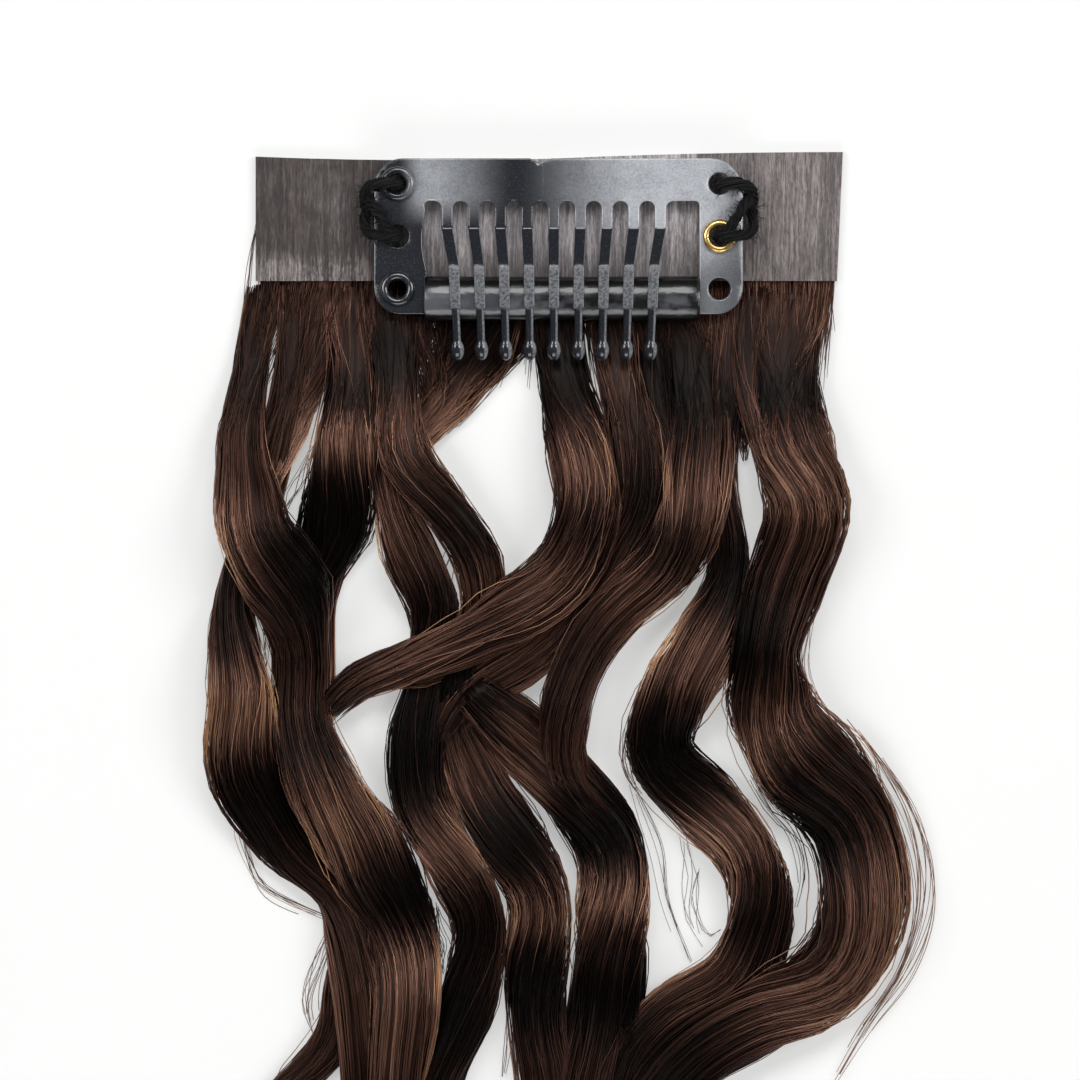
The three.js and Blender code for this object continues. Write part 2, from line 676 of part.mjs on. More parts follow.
add('weft_tape', weftGeometry(), film);
add('hair', hairGeometry(), brownHair);
add('clip_frame', frameGeometry(), paintedSteel);
add('comb', combGeometry(), paintedSteel);
add('rubber_tube', tubeGeometry(), rubber);
add('eyelet_upper_left', eyeletGeometry(eyeletBore, eyeletFlange), paintedSteel, leftHoleX, holeRows.upper, sheetZ);
add('eyelet_lower_left', eyeletGeometry(eyeletBore, eyeletFlange), paintedSteel, leftHoleX, holeRows.lower, sheetZ);
add('eyelet_right', eyeletGeometry(brassBore, brassFlange), brass, rightHoleX, holeRows.middle, sheetZ);
add('stitch_left', stitchGeometry(leftHoleX, clipLeft, holeRows.upper, holeRows.middle, rimTop, plateTop), thread);
add('stitch_right', stitchGeometry(rightHoleX, clipRight, holeRows.upper, holeRows.middle, plateTop, rimTop), thread);

export default group;
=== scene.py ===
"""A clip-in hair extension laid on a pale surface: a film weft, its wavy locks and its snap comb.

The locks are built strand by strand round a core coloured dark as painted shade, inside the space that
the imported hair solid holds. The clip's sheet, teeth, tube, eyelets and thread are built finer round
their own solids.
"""

import logging
import math
from dataclasses import dataclass
from enum import Enum, IntEnum
from typing import Any, Callable, NamedTuple, Sequence

import bmesh
import bpy
import numpy as np
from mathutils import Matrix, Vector


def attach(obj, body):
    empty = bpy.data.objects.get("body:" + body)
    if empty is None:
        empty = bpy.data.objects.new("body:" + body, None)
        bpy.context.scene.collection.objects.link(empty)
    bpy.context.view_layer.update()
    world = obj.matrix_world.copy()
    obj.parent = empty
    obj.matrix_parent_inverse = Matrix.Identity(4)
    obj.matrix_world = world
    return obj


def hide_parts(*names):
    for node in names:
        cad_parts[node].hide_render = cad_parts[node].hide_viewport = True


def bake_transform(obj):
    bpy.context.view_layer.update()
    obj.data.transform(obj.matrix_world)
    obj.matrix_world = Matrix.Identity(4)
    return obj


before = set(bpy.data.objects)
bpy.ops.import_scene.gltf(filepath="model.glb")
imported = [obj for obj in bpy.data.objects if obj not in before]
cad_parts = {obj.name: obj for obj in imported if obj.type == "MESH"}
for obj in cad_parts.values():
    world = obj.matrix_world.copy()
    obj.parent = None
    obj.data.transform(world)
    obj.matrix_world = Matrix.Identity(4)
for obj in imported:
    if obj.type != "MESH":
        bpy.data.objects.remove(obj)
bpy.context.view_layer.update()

LOG = logging.getLogger("hairpiece")
MM = 0.001
STRAND_UV = "OFBake"
TONE = "tone"
GLOSS = "gloss"
UP = np.array([0.0, 0.0, 1.0])

Span = tuple[float, float]
Triple = tuple[float, float, float]
Rows = Sequence[Sequence[float]]


class Slot(Enum):
    """The material slots."""

    FILM = "film"
    HAIR = "hair"
    PAINT = "clip_paint"
    RUBBER = "rubber"
    BLACK_EYELET = "eyelet_black"
    BRASS_EYELET = "eyelet_brass"
    THREAD = "thread"


class Body(Enum):
    """The bodies that pieces ride on."""

    WEFT = "weft"
    COMB = "comb"


class Wire:
    """A shader socket whose arithmetic adds Math nodes."""

    def __init__(self, graph: "Graph", socket: bpy.types.NodeSocket) -> None:
        """Wraps one output socket.

        Args:
            graph: The graph that the socket belongs to.
            socket: The output socket.
        """
        self.graph = graph
        self.socket = socket

    def _math(self, operation: str, first: Any, second: Any) -> "Wire":
        """Adds one Math node.

        Args:
            operation: The node's operation.
            first: Its first value, a number or a wire.
            second: Its second value.

        Returns:
            The node's result.
        """
        return self.graph.node("ShaderNodeMath", {"operation": operation}, {0: first, 1: second}).out()

    def __add__(self, other: Any) -> "Wire":
        """Adds a value."""
        return self._math("ADD", self, other)

    __radd__ = __add__

    def __mul__(self, other: Any) -> "Wire":
        """Multiplies by a value."""
        return self._math("MULTIPLY", self, other)

    __rmul__ = __mul__

    def __sub__(self, other: Any) -> "Wire":
        """Takes a value away."""
        return self._math("SUBTRACT", self, other)

    def __rsub__(self, other: Any) -> "Wire":
        """Takes this wire away from a value."""
        return self._math("SUBTRACT", other, self)

    def clipped(self) -> "Wire":
        """Keeps the value between 0 and 1."""
        return self._math("MINIMUM", self._math("MAXIMUM", self, 0.0), 1.0)

    def step_from(self, start: float, end: float) -> "Wire":
        """A smooth step.

        Args:
            start: The value where the step is 0.
            end: The value where it is 1.

        Returns:
            The step, from 0 to 1.
        """
        settings = {"interpolation_type": "SMOOTHSTEP"}
        values = {"Value": self, "From Min": start, "From Max": end}
        return self.graph.node("ShaderNodeMapRange", settings, values).out()

    def between(self, rise: Span, fall: Span) -> "Wire":
        """A smooth hump.

        Args:
            rise: The values where it leaves 0 and where it reaches 1.
            fall: The values where it leaves 1 and where it is 0 again.

        Returns:
            The hump, from 0 to 1.
        """
        return self.step_from(*rise) * (1.0 - self.step_from(*fall))


class Placed(NamedTuple):
    """One node of a graph."""

    graph: "Graph"
    node: bpy.types.Node

    def out(self, name: str | int = 0) -> Wire:
        """One of its outputs as a wire."""
        return Wire(self.graph, self.node.outputs[name])


class Graph:
    """The node graph of one material."""

    def __init__(self, name: str) -> None:
        """Makes an empty material.

        Args:
            name: The material's name.
        """
        self.material = bpy.data.materials.new(name)
        self.material.use_nodes = True
        self.tree = self.material.node_tree
        self.tree.nodes.clear()

    def node(self, kind: str, settings: dict[str, Any], values: dict[Any, Any]) -> Placed:
        """Adds a node, sets it up and feeds it.

        Args:
            kind: The node's type.
            settings: What is set on the node itself; "stops" are a ramp's colours by position.
            values: What goes into its sockets, numbers, colours or wires, by name or number.

        Returns:
            The node.
        """
        made = self.tree.nodes.new(kind)
        for key, value in settings.items():
            if key == "stops":
                self._fill_ramp(made.color_ramp, value)
            else:
                setattr(made, key, value)
        for key, value in values.items():
            if isinstance(value, Wire):
                self.tree.links.new(value.socket, made.inputs[key])
            else:
                made.inputs[key].default_value = value
        return Placed(self, made)

    @staticmethod
    def _fill_ramp(ramp: bpy.types.ColorRamp, stops: Sequence[tuple[float, Sequence[float]]]) -> None:
        """Gives a ramp its stops.

        Args:
            ramp: The ramp.
            stops: Position and linear colour of each stop.
        """
        while len(ramp.elements) < len(stops):
            ramp.elements.new(0.5)
        for element, (position, colour) in zip(ramp.elements, stops):
            element.position = position
            element.color = (*colour, 1.0)

    def noise(self, where: Wire, scale: float, detail: float = 3.0, roughness: float = 0.5) -> Wire:
        """A noise value over a surface.

        Args:
            where: The coordinates that it is taken at.
            scale: Its scale.
            detail: Its octaves.
            roughness: How strong the finer octaves are.

        Returns:
            The noise, about 0 to 1.
        """
        values = {"Vector": where, "Scale": scale, "Detail": detail, "Roughness": roughness}
        return self.node("ShaderNodeTexNoise", {}, values).out("Fac")

    def place(self, stretch: Triple = (1.0, 1.0, 1.0)) -> Wire:
        """The surface's place on the object, in millimetres.

        Args:
            stretch: What each axis is multiplied by.

        Returns:
            The coordinates.
        """
        where = self.node("ShaderNodeTexCoord", {}, {}).out("Object")
        scale = tuple(value / MM for value in stretch)
        return self.node("ShaderNodeVectorMath", {"operation": "MULTIPLY"}, {0: where, 1: scale}).out()

    def axes(self, where: Wire) -> tuple[Wire, Wire, Wire]:
        """The x, y and z of a vector."""
        parts = self.node("ShaderNodeSeparateXYZ", {}, {0: where})
        return parts.out(0), parts.out(1), parts.out(2)

    def joined(self, x: Wire, y: Wire) -> Wire:
        """A vector of two wires."""
        return self.node("ShaderNodeCombineXYZ", {}, {0: x, 1: y}).out()

    def attribute(self, name: str) -> Wire:
        """A mesh attribute as a value."""
        return self.node("ShaderNodeAttribute", {"attribute_name": name}, {}).out("Fac")

    def ramp(self, value: Wire, stops: Sequence[tuple[float, Sequence[float]]]) -> Wire:
        """A colour looked up by a value."""
        return self.node("ShaderNodeValToRGB", {"stops": stops}, {0: value}).out("Color")

    def blend(self, share: Wire, first: Any, second: Any) -> Wire:
        """Mixes two colours.

        Args:
            share: How much of the second one there is.
            first: A colour or a wire.
            second: A colour or a wire.

        Returns:
            The mixed colour.
        """
        pair = [value if isinstance(value, Wire) else (*value, 1.0) for value in (first, second)]
        return self.node("ShaderNodeMix", {"data_type": "RGBA"}, {0: share, 6: pair[0], 7: pair[1]}).out(2)

    def bump(self, height: Wire, depth: float, strength: float = 1.0) -> Wire:
        """A normal raised by a height.

        Args:
            height: The height, about 0 to 1.
            depth: How deep a height of 1 is, in metres.
            strength: How much of it shows.

        Returns:
            The normal.
        """
        values = {"Height": height, "Distance": depth, "Strength": strength}
        return self.node("ShaderNodeBump", {}, values).out()

    def surface(self, values: dict[str, Any]) -> bpy.types.Material:
        """Ends the graph in a Principled shader.

        Args:
            values: What goes into the shader's sockets.

        Returns:
            The finished material.
        """
        shader = self.node("ShaderNodeBsdfPrincipled", {}, values).out()
        self.node("ShaderNodeOutputMaterial", {}, {"Surface": shader})
        return self.material


@dataclass(frozen=True)
class HairFinish:
    """Glossy dark brown hair whose strands differ in tone and gloss, the lightest ones golden.

    The tone also carries painted highlights, painted shade and painted rim light.
    """

    shadow: Triple = (0.0022, 0.0015, 0.0012)
    deep: Triple = (0.014, 0.0072, 0.0054)
    middle: Triple = (0.066, 0.0295, 0.0205)
    light: Triple = (0.215, 0.112, 0.078)
    golden: Triple = (0.47, 0.265, 0.145)
    smooth: float = 0.24
    rough: float = 0.42
    metal: float = 0.5
    specular: float = 0.12

    def material(self) -> bpy.types.Material:
        """The finish as a material."""
        graph = Graph("hair")
        colours = (self.shadow, self.deep, self.middle, self.light, self.golden)
        stops = [(place / (len(colours) - 1), colour) for place, colour in enumerate(colours)]
        gloss = graph.attribute(GLOSS)
        return graph.surface({
            "Base Color": graph.ramp(graph.attribute(TONE), stops),
            "Roughness": self.rough - gloss * (self.rough - self.smooth),
            "Metallic": self.metal,
            "Specular IOR Level": self.specular,
        })


@dataclass(frozen=True)
class FilmFinish:
    """Clear film over close-set straight hair ends, which show as fine broken lines.

    The film is paler towards its right end and where it is smeared, less pale towards its foot, and has
    painted light in the clip's window. Places are in millimetres along and up the strip, each span from
    where its effect starts to where it is full.
    """

    deep: Triple = (0.020, 0.015, 0.0135)
    hair: Triple = (0.098, 0.078, 0.074)
    bare_deep: Triple = (0.072, 0.061, 0.060)
    bare: Triple = (0.300, 0.262, 0.255)
    # Painted light: pale colours for the film in the clip's window, where the clip casts its shade.
    window_light_deep: Triple = (0.175, 0.158, 0.162)
    window_light: Triple = (0.66, 0.605, 0.615)
    lines: float = 5.5
    wander: float = 3.4
    pale: Span = (4.0, 21.0)
    less_pale_below: Span = (-0.5, -4.5)
    smear: Span = (-2.6, -4.6)
    smear_end: Span = (-15.0, -17.0)
    window_left: Span = (-11.2, -10.8)
    window_right: Span = (12.7, 13.1)
    window_foot: Span = (-4.8, 0.2)
    relief: float = 0.08 * MM
    specular: float = 0.4

    def material(self) -> bpy.types.Material:
        """The finish as a material."""
        graph = Graph("film")
        where = graph.place()
        across, height, _ = graph.axes(where)
        waves = graph.noise(graph.place((0.55, 0.35, 1.0)), 1.0, 2.0)
        turned = graph.joined(across * self.lines + waves * self.wander, height * 0.2)
        fine = graph.noise(turned, 1.0, 4.0, 0.75)
        broad = graph.noise(graph.place((1.7, 0.07, 1.0)), 1.0, 3.0, 0.6)
        patch = graph.noise(graph.place((0.2, 0.16, 1.0)), 1.0, 3.0)
        specks = graph.noise(graph.place((5.0, 1.1, 1.0)), 1.0, 3.0, 0.75)
        lines = (fine * 0.45 + broad * 0.25 + specks * 0.30).step_from(0.40, 0.61)
        foot = height.step_from(*self.smear) * across.step_from(*self.smear_end)
        pale = across.step_from(*self.pale)
        broken = (broad * 0.5 + specks * 0.5).step_from(0.38, 0.58)
        # The film is made less pale towards its foot.
        pale = pale * (1.0 - height.step_from(*self.less_pale_below) * 0.32)
        milky = (pale + foot * broken * 1.2 + patch.step_from(0.46, 0.70) * 0.45).clipped()
        dark = graph.blend(lines, self.deep, self.hair)
        colour = graph.blend(milky, dark, graph.blend(lines, self.bare_deep, self.bare))
        # Painted light: the window takes the pale colours, strongest near its top and fading towards its
        # foot.
        window = across.between(self.window_left, self.window_right)
        faded = (height + waves * 1.6).step_from(*self.window_foot)
        window = (window * (faded * 0.8 + 0.2)).clipped()
        grain = graph.noise(where, 7.0, 3.0, 0.7)
        return graph.surface({
            "Base Color": graph.blend(window, colour, graph.blend(lines, self.window_light_deep, self.window_light)),
            "Roughness": 0.36 + fine * 0.2,
            "Normal": graph.bump(lines + grain * 0.35, self.relief, 0.9),
            "Specular IOR Level": self.specular,
        })


@dataclass(frozen=True)
class PaintFinish:
    """Satin black paint on sheet steel, with a fine orange peel and a painted reflection towards the clip's
    ends.

    Places are in millimetres along and up the clip, each span from where its effect starts to where it
    is full. The dome makes the flat sheet shine as a slightly bowed one.
    """

    paint: Triple = (0.0095, 0.0112, 0.0155)
    dust: Triple = (0.085, 0.092, 0.105)
    # A pale grey painted reflection, standing in for the sheen of lamps on the satin paint.
    painted_reflection: Triple = (0.415, 0.430, 0.462)
    rub: Triple = (0.115, 0.120, 0.134)
    # Light steel for worn edges, kept to the right-hand edges, so partly a painted highlight.
    edge: Triple = (0.30, 0.31, 0.33)
    crease: float = -0.7
    half_span: float = 16.0
    dome: float = 0.95
    left_rise: Span = (-13.2, -10.6)
    left_fall: Span = (-10.6, -3.0)
    left_foot: Span = (-1.0, 2.0)
    right_rise: Span = (-3.0, 9.4)
    right_fall: Span = (13.6, 16.8)
    right_foot: Span = (-5.5, -0.8)
    worn_foot: Span = (-8.1, -7.85)
    worn_top: Span = (-4.3, -4.15)
    specular: float = 0.7
    coat: float = 0.4
    coat_rough: float = 0.12

    def _painted_reflection(self, graph: Graph, where: Wire) -> Wire:
        """How much painted reflection the paint gets: none round the crease, more towards both ends of the
        top bar.

        Args:
            graph: The graph that it is added to.
            where: The place on the clip.

        Returns:
            The share of painted reflection, from 0 to 1.
        """
        along, up, _ = graph.axes(where)
        left = along.between(self.left_rise, self.left_fall) * up.step_from(*self.left_foot) * 0.70
        right = along.step_from(*self.right_rise) * (1.0 - along.step_from(*self.right_fall) * 0.55)
        lower = 0.34 + up.step_from(*self.right_foot) * 0.66
        clouds = graph.noise(where, 0.5, 4.0, 0.6)
        grain = graph.noise(where, 6.0, 3.0, 0.8)
        return ((left + right * lower) * (-0.12 + clouds * 0.7 + grain * 1.35)).clipped()

    def material(self, worn: bool) -> bpy.types.Material:
        """The finish as a material.

        Args:
            worn: Whether the paint is rubbed over the tube, as on the teeth, with light steel on its right
                edges as wear and painted highlight.

        Returns:
            The material.
        """
        graph = Graph("clip_paint_worn" if worn else "clip_paint")
        where = graph.place()
        peel = graph.noise(where, 4.5, 3.0, 0.65)
        specks = graph.noise(where, 7.0, 4.0, 0.8).step_from(0.50, 0.74)
        colour = graph.blend(specks * 0.5, self.paint, self.dust)
        along, up, _ = graph.axes(where)
        if worn:
            zone = up.between(self.worn_foot, self.worn_top)
            scuffs = graph.noise(where, 4.2, 4.0, 0.75).step_from(0.36, 0.66)
            rubbed = (zone * (0.25 + scuffs * 0.75)).clipped()
            # Right-hand edges turn to light steel: edge wear kept to the side that the light catches, so
            # partly a painted highlight.
            sideways, _, _ = graph.axes(graph.node("ShaderNodeNewGeometry", {}, {}).out("Normal"))
            bright = (sideways.step_from(0.25, 0.7) * (0.35 + scuffs * 0.65)).clipped()
            colour = graph.blend(bright, graph.blend(rubbed, colour, self.rub), self.edge)
            rough = 0.12 + peel * 0.08 + rubbed * 0.22
            height = peel * 0.006 + scuffs * zone * 0.010
        else:
            share = (along - self.crease) * (1.0 / self.half_span)
            # Painted reflection: the pale grey is mixed in towards both ends of the bar, mottled with grain.
            colour = graph.blend(self._painted_reflection(graph, where), colour, self.painted_reflection)
            rough = 0.13 + peel * 0.10
            height = peel * 0.010 - share * share * self.dome
        return graph.surface({
            "Base Color": colour,
            "Roughness": rough,
            "Normal": graph.bump(height, MM, 1.0),
            "Specular IOR Level": self.specular,
            "Coat Weight": 0.0 if worn else self.coat,
            "Coat Roughness": self.coat_rough,
        })


@dataclass(frozen=True)
class RubberFinish:
    """Smooth glossy black rubber with a little lint and a painted highlight along it.

    Places are in millimetres along and up the clip, each span from where its effect starts to where it
    is full.
    """

    rubber: Triple = (0.0022, 0.0023, 0.0030)
    lint: Triple = (0.03, 0.03, 0.034)
    # A pale grey painted highlight.
    painted_highlight: Triple = (0.20, 0.205, 0.23)
    painted_highlight_foot: Span = (-8.2, -7.6)
    painted_highlight_top: Span = (-6.6, -4.9)
    painted_highlight_left: Span = (-8.0, 2.0)
    relief: float = 0.10 * MM
    specular: float = 0.6

    def material(self) -> bpy.types.Material:
        """The finish as a material."""
        graph = Graph("rubber")
        where = graph.place()
        along, up, _ = graph.axes(where)
        specks = graph.noise(where, 6.0, 4.0, 0.7).step_from(0.62, 0.78)
        waves = graph.noise(graph.place((0.5, 1.0, 1.0)), 0.9, 2.0)
        patches = graph.noise(graph.place((0.35, 0.5, 1.0)), 1.0, 3.0, 0.6)
        # Painted highlight: a pale band along the lower middle of the tube, strongest towards its left end
        # and in patches.
        band = (up + waves * 0.8).step_from(*self.painted_highlight_foot)
        band = band * (1.0 - (up + patches * 1.4).step_from(*self.painted_highlight_top))
        strong = 0.02 + (1.0 - along.step_from(*self.painted_highlight_left)) * 0.38
        strong = strong + patches.step_from(0.46, 0.66) * 0.36
        black = graph.blend(specks * 0.4, self.rubber, self.lint)
        return graph.surface({
            "Base Color": graph.blend((band * strong).clipped(), black, self.painted_highlight),
            "Roughness": 0.14 + waves * 0.16,
            "Normal": graph.bump(waves, self.relief, 0.7),
            "Specular IOR Level": self.specular,
        })


@dataclass(frozen=True)
class BrassFinish:
    """Polished brass with light tarnish."""

    bright: Triple = (0.86, 0.60, 0.24)
    dull: Triple = (0.42, 0.26, 0.08)
    metal: float = 0.95

    def material(self) -> bpy.types.Material:
        """The finish as a material."""
        graph = Graph("brass")
        patches = graph.noise(graph.place(), 1.6, 4.0, 0.6).step_from(0.4, 0.75)
        return graph.surface({
            "Base Color": graph.blend(patches, self.bright, self.dull),
            "Roughness": 0.24 + patches * 0.16,
            "Metallic": self.metal,
        })


@dataclass(frozen=True)
class ThreadFinish:
    """Matt black cotton."""

    dark: Triple = (0.002, 0.002, 0.0023)
    light: Triple = (0.014, 0.014, 0.016)
    specular: float = 0.25

    def material(self) -> bpy.types.Material:
        """The finish as a material."""
        graph = Graph("thread")
        tone = graph.attribute(TONE)
        return graph.surface({
            "Base Color": graph.ramp(tone, [(0.0, self.dark), (1.0, self.light)]),
            "Roughness": 0.75 + tone * 0.2,
            "Specular IOR Level": self.specular,
        })


@dataclass(frozen=True)
class FloorFinish:
    """A plain pale surface that glows a little, so it stays as even as the photograph's."""

    pale: Triple = (0.48, 0.48, 0.477)
    cloud: Triple = (0.455, 0.455, 0.452)
    light: Triple = (1.0, 1.0, 0.995)
    glow: float = 0.40
    rough: float = 0.8
    specular: float = 0.05

    def material(self) -> bpy.types.Material:
        """The finish as a material."""
        graph = Graph("floor")
        clouds = graph.noise(graph.place(), 0.05, 2.0)
        return graph.surface({
            "Base Color": graph.blend(clouds * 0.4, self.pale, self.cloud),
            "Roughness": self.rough,
            "Specular IOR Level": self.specular,
            "Emission Color": (*self.light, 1.0),
            "Emission Strength": self.glow,
        })


def show(name: str, mesh: bpy.types.Mesh, material: bpy.types.Material) -> bpy.types.Object:
    """Puts a mesh in the scene.

    Args:
        name: The piece's name.
        mesh: Its mesh.
        material: Its finish.

    Returns:
        The object.
    """
    mesh.materials.clear()
    mesh.materials.append(material)
    piece = bpy.data.objects.new(name, mesh)
    bpy.context.scene.collection.objects.link(piece)
    return piece


def declare(piece: bpy.types.Object, body: Body, slot: Slot, *nodes: str) -> None:
    """Says what a piece rides on and stands for.

    Args:
        piece: The piece.
        body: The body that it rides on.
        slot: The material slot; not used.
        nodes: The nodes that it stands for.
    """
    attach(piece, body.value)
    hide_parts(*nodes)
    LOG.info("%s: %d faces on %s", piece.name, len(piece.data.polygons), body.value)


def smooth_step(value: Any, start: float, end: float) -> Any:
    """A smooth step from 0 at start to 1 at end."""
    share = np.clip((value - start) / (end - start), 0.0, 1.0)
    return share * share * (3.0 - 2.0 * share)


def unit(vectors: np.ndarray) -> np.ndarray:
    """Vectors made 1 long."""
    return vectors / np.linalg.norm(vectors, axis=-1, keepdims=True)


def span_of(points: np.ndarray) -> float:
    """The length of a line through points."""
    return float(np.linalg.norm(np.diff(points, axis=0), axis=1).sum())


def even_curve(points: np.ndarray, count: int, fine: int = 24) -> tuple[np.ndarray, np.ndarray]:
    """A centripetal curve through points, taken at even steps of its length.

    Args:
        points: The points that it passes.
        count: How many points to take.
        fine: Points worked out in each stretch.

    Returns:
        The points, and for each the row that it lies after, with the share of the way to the next.
    """
    ends = np.concatenate([2 * points[:1] - points[1:2], points, 2 * points[-1:] - points[-2:-1]])
    gaps = np.maximum(np.linalg.norm(np.diff(ends, axis=0), axis=1) ** 0.5, 1e-9)
    share = np.linspace(0, 1, fine, endpoint=False)[:, None]
    pieces = []
    for k in range(len(points) - 1):
        before, start, end, after = ends[k:k + 4]
        d0, d1, d2 = gaps[k:k + 3]
        leave = ((start - before) / d0 - (end - before) / (d0 + d1) + (end - start) / d1) * d1
        arrive = ((end - start) / d1 - (after - start) / (d1 + d2) + (after - end) / d2) * d1
        square, cube = share**2, share**3
        pieces.append((2 * cube - 3 * square + 1) * start + (cube - 2 * square + share) * leave
                      + (3 * square - 2 * cube) * end + (cube - square) * arrive)
    line = np.concatenate([*pieces, points[-1:]])
    place = np.linspace(0, len(points) - 1, len(line))
    run = np.concatenate([[0.0], np.cumsum(np.linalg.norm(np.diff(line, axis=0), axis=1))])
    even = np.linspace(0, run[-1], count)
    taken = np.stack([np.interp(even, run, line[:, axis]) for axis in range(3)], axis=-1)
    return taken, np.interp(even, run, place)


def looped_skin(name: str, rings: Sequence[Rows], sharp: float) -> bpy.types.Mesh:
    """A closed skin over rings of points, the last ring joined to the first.

    Args:
        name: The mesh's name.
        rings: The points, ring by ring.
        sharp: The angle in degrees from which an edge stays sharp.

    Returns:
        The mesh.
    """
    shape = bmesh.new()
    loops = [[shape.verts.new(point) for point in ring] for ring in rings]
    for here, after in zip(loops, loops[1:] + loops[:1]):
        for side, corner in enumerate(here):
            beside = (side + 1) % len(here)
            shape.faces.new((corner, here[beside], after[beside], after[side])).smooth = True
    bmesh.ops.recalc_face_normals(shape, faces=shape.faces)
    mesh = bpy.data.meshes.new(name)
    shape.to_mesh(mesh)
    shape.free()
    mesh.set_sharp_from_angle(angle=math.radians(sharp))
    return mesh


class Skins:
    """Closed skins over rings of points, such as thin tubes, gathered into one mesh."""

    def __init__(self) -> None:
        """Starts with nothing."""
        self.vertices: list[np.ndarray] = []
        self.faces: list[np.ndarray] = []
        self.tones: list[np.ndarray] = []
        self.glosses: list[np.ndarray] = []
        self.shapes: list[tuple[int, int]] = []
        self.count = 0

    def tubes(self, paths: np.ndarray, radii: np.ndarray, tones: np.ndarray, glosses: np.ndarray,
              sides: int = 3) -> None:
        """Adds tubes that all have the same number of steps.

        Args:
            paths: Their middle lines, tube by point by xyz.
            radii: Their radius at each point.
            tones: Their tone at each point.
            glosses: Their gloss, one for each tube.
            sides: How many sides each has.
        """
        along = np.gradient(paths, axis=1)
        along /= np.maximum(np.linalg.norm(along, axis=2, keepdims=True), 1e-12)
        across = np.cross(along, UP)
        across /= np.maximum(np.linalg.norm(across, axis=2, keepdims=True), 1e-9)
        over = np.cross(across, along)
        angles = np.arange(sides) / sides * 2 * math.pi + math.pi / 2
        ring = across[:, :, None] * np.cos(angles)[:, None] + over[:, :, None] * np.sin(angles)[:, None]
        self.rings(paths[:, :, None] + ring * radii[..., None, None], tones, glosses)

    def rings(self, rings: np.ndarray, tones: np.ndarray, glosses: np.ndarray) -> None:
        """Adds closed skins over rings of points.

        Args:
            rings: The points, skin by ring by side by xyz.
            tones: The tone at each ring, or at each of its points.
            glosses: The gloss of each skin.
        """
        skins, steps, sides, _ = rings.shape
        base = self.count + (np.arange(skins) * steps * sides)[:, None, None]
        ring = (np.arange(steps - 1) * sides)[None, :, None]
        side = np.arange(sides)[None, None, :]
        here = base + ring + side
        beside = base + ring + (side + 1) % sides
        quads = np.stack([here, beside, beside + sides, here + sides], axis=-1).reshape(-1, 4)
        start = base[:, 0] + np.arange(sides)[::-1]
        end = base[:, 0] + (steps - 1) * sides + np.arange(sides)
        self.faces += [quads, np.concatenate([start, end])]
        self.vertices.append(rings.reshape(-1, 3))
        spread = tones if tones.ndim == 3 else np.repeat(tones[..., None], sides, axis=2)
        self.tones.append(spread.reshape(-1))
        self.glosses.append(np.repeat(glosses, steps * sides))
        self.shapes += [(steps, sides)] * skins
        self.count += skins * steps * sides

    def mesh(self, name: str) -> bpy.types.Mesh:
        """Makes the mesh of all that was added.

        Args:
            name: The mesh's name.

        Returns:
            The mesh, with its tone, gloss and strip-by-strip map.
        """
        loops = np.concatenate([block.reshape(-1) for block in self.faces])
        totals = np.concatenate([np.full(len(block), block.shape[1]) for block in self.faces])
        starts = np.concatenate([[0], np.cumsum(totals)[:-1]])
        mesh = bpy.data.meshes.new(name)
        mesh.vertices.add(self.count)
        mesh.vertices.foreach_set("co", np.concatenate(self.vertices).astype(np.float32).reshape(-1))
        mesh.loops.add(len(loops))
        mesh.loops.foreach_set("vertex_index", loops.astype(np.int32))
        mesh.polygons.add(len(totals))
        mesh.polygons.foreach_set("loop_start", starts.astype(np.int32))
        mesh.polygons.foreach_set("loop_total", totals.astype(np.int32))
        mesh.update(calc_edges=True)
        mesh.polygons.foreach_set("use_smooth", np.ones(len(totals), dtype=bool))
        for title, blocks in ((TONE, self.tones), (GLOSS, self.glosses)):
            layer = mesh.attributes.new(title, "FLOAT", "POINT")
            layer.data.foreach_set("value", np.concatenate(blocks).astype(np.float32))
        self._map(mesh, loops, totals)
        return mesh

    def _map(self, mesh: bpy.types.Mesh, loops: np.ndarray, totals: np.ndarray) -> None:
        """Lays every skin out as a strip of its own in the unit square.

        Args:
            mesh: The mesh.
            loops: The vertex of each face corner.
            totals: The corners of each face.
        """
        strips = len(self.shapes)
        columns = max(1, round(math.sqrt(strips / 6)))
        rows = math.ceil(strips / columns)
        sizes = [steps * sides for steps, sides in self.shapes]
        shares = [np.repeat(np.arange(steps) / (steps - 1), sides) for steps, sides in self.shapes]
        along = np.concatenate(shares)
        around = np.concatenate([np.tile(np.arange(sides), steps) for steps, sides in self.shapes])
        strip = np.repeat(np.arange(strips), sizes)[loops]
        width = np.repeat([sides for _, sides in self.shapes], sizes)[loops]
        turn = around[loops].astype(float)
        face = np.repeat(np.arange(len(totals)), totals)
        high = np.zeros(len(totals))
        np.maximum.at(high, face, turn)
        wraps = (high[face] == width - 1) & (turn == 0) & (totals[face] == 4)
        turn = np.where(wraps, width, turn)
        u = (strip % columns + 0.02 + along[loops] * 0.96) / columns
        v = (strip // columns + 0.1 + turn / width * 0.8) / rows
        layer = mesh.uv_layers.new(name=STRAND_UV)
        layer.data.foreach_set("uv", np.stack([u, v], axis=-1).astype(np.float32).reshape(-1))


class Seed(IntEnum):
    """What the chance draws start from."""

    THREAD_LEFT = 41
    THREAD_RIGHT = 42
    ROOTS = 77
    CLUMPS = 100
    CORE = 500
    LOCKS = 2000
    STRAYS = 3000


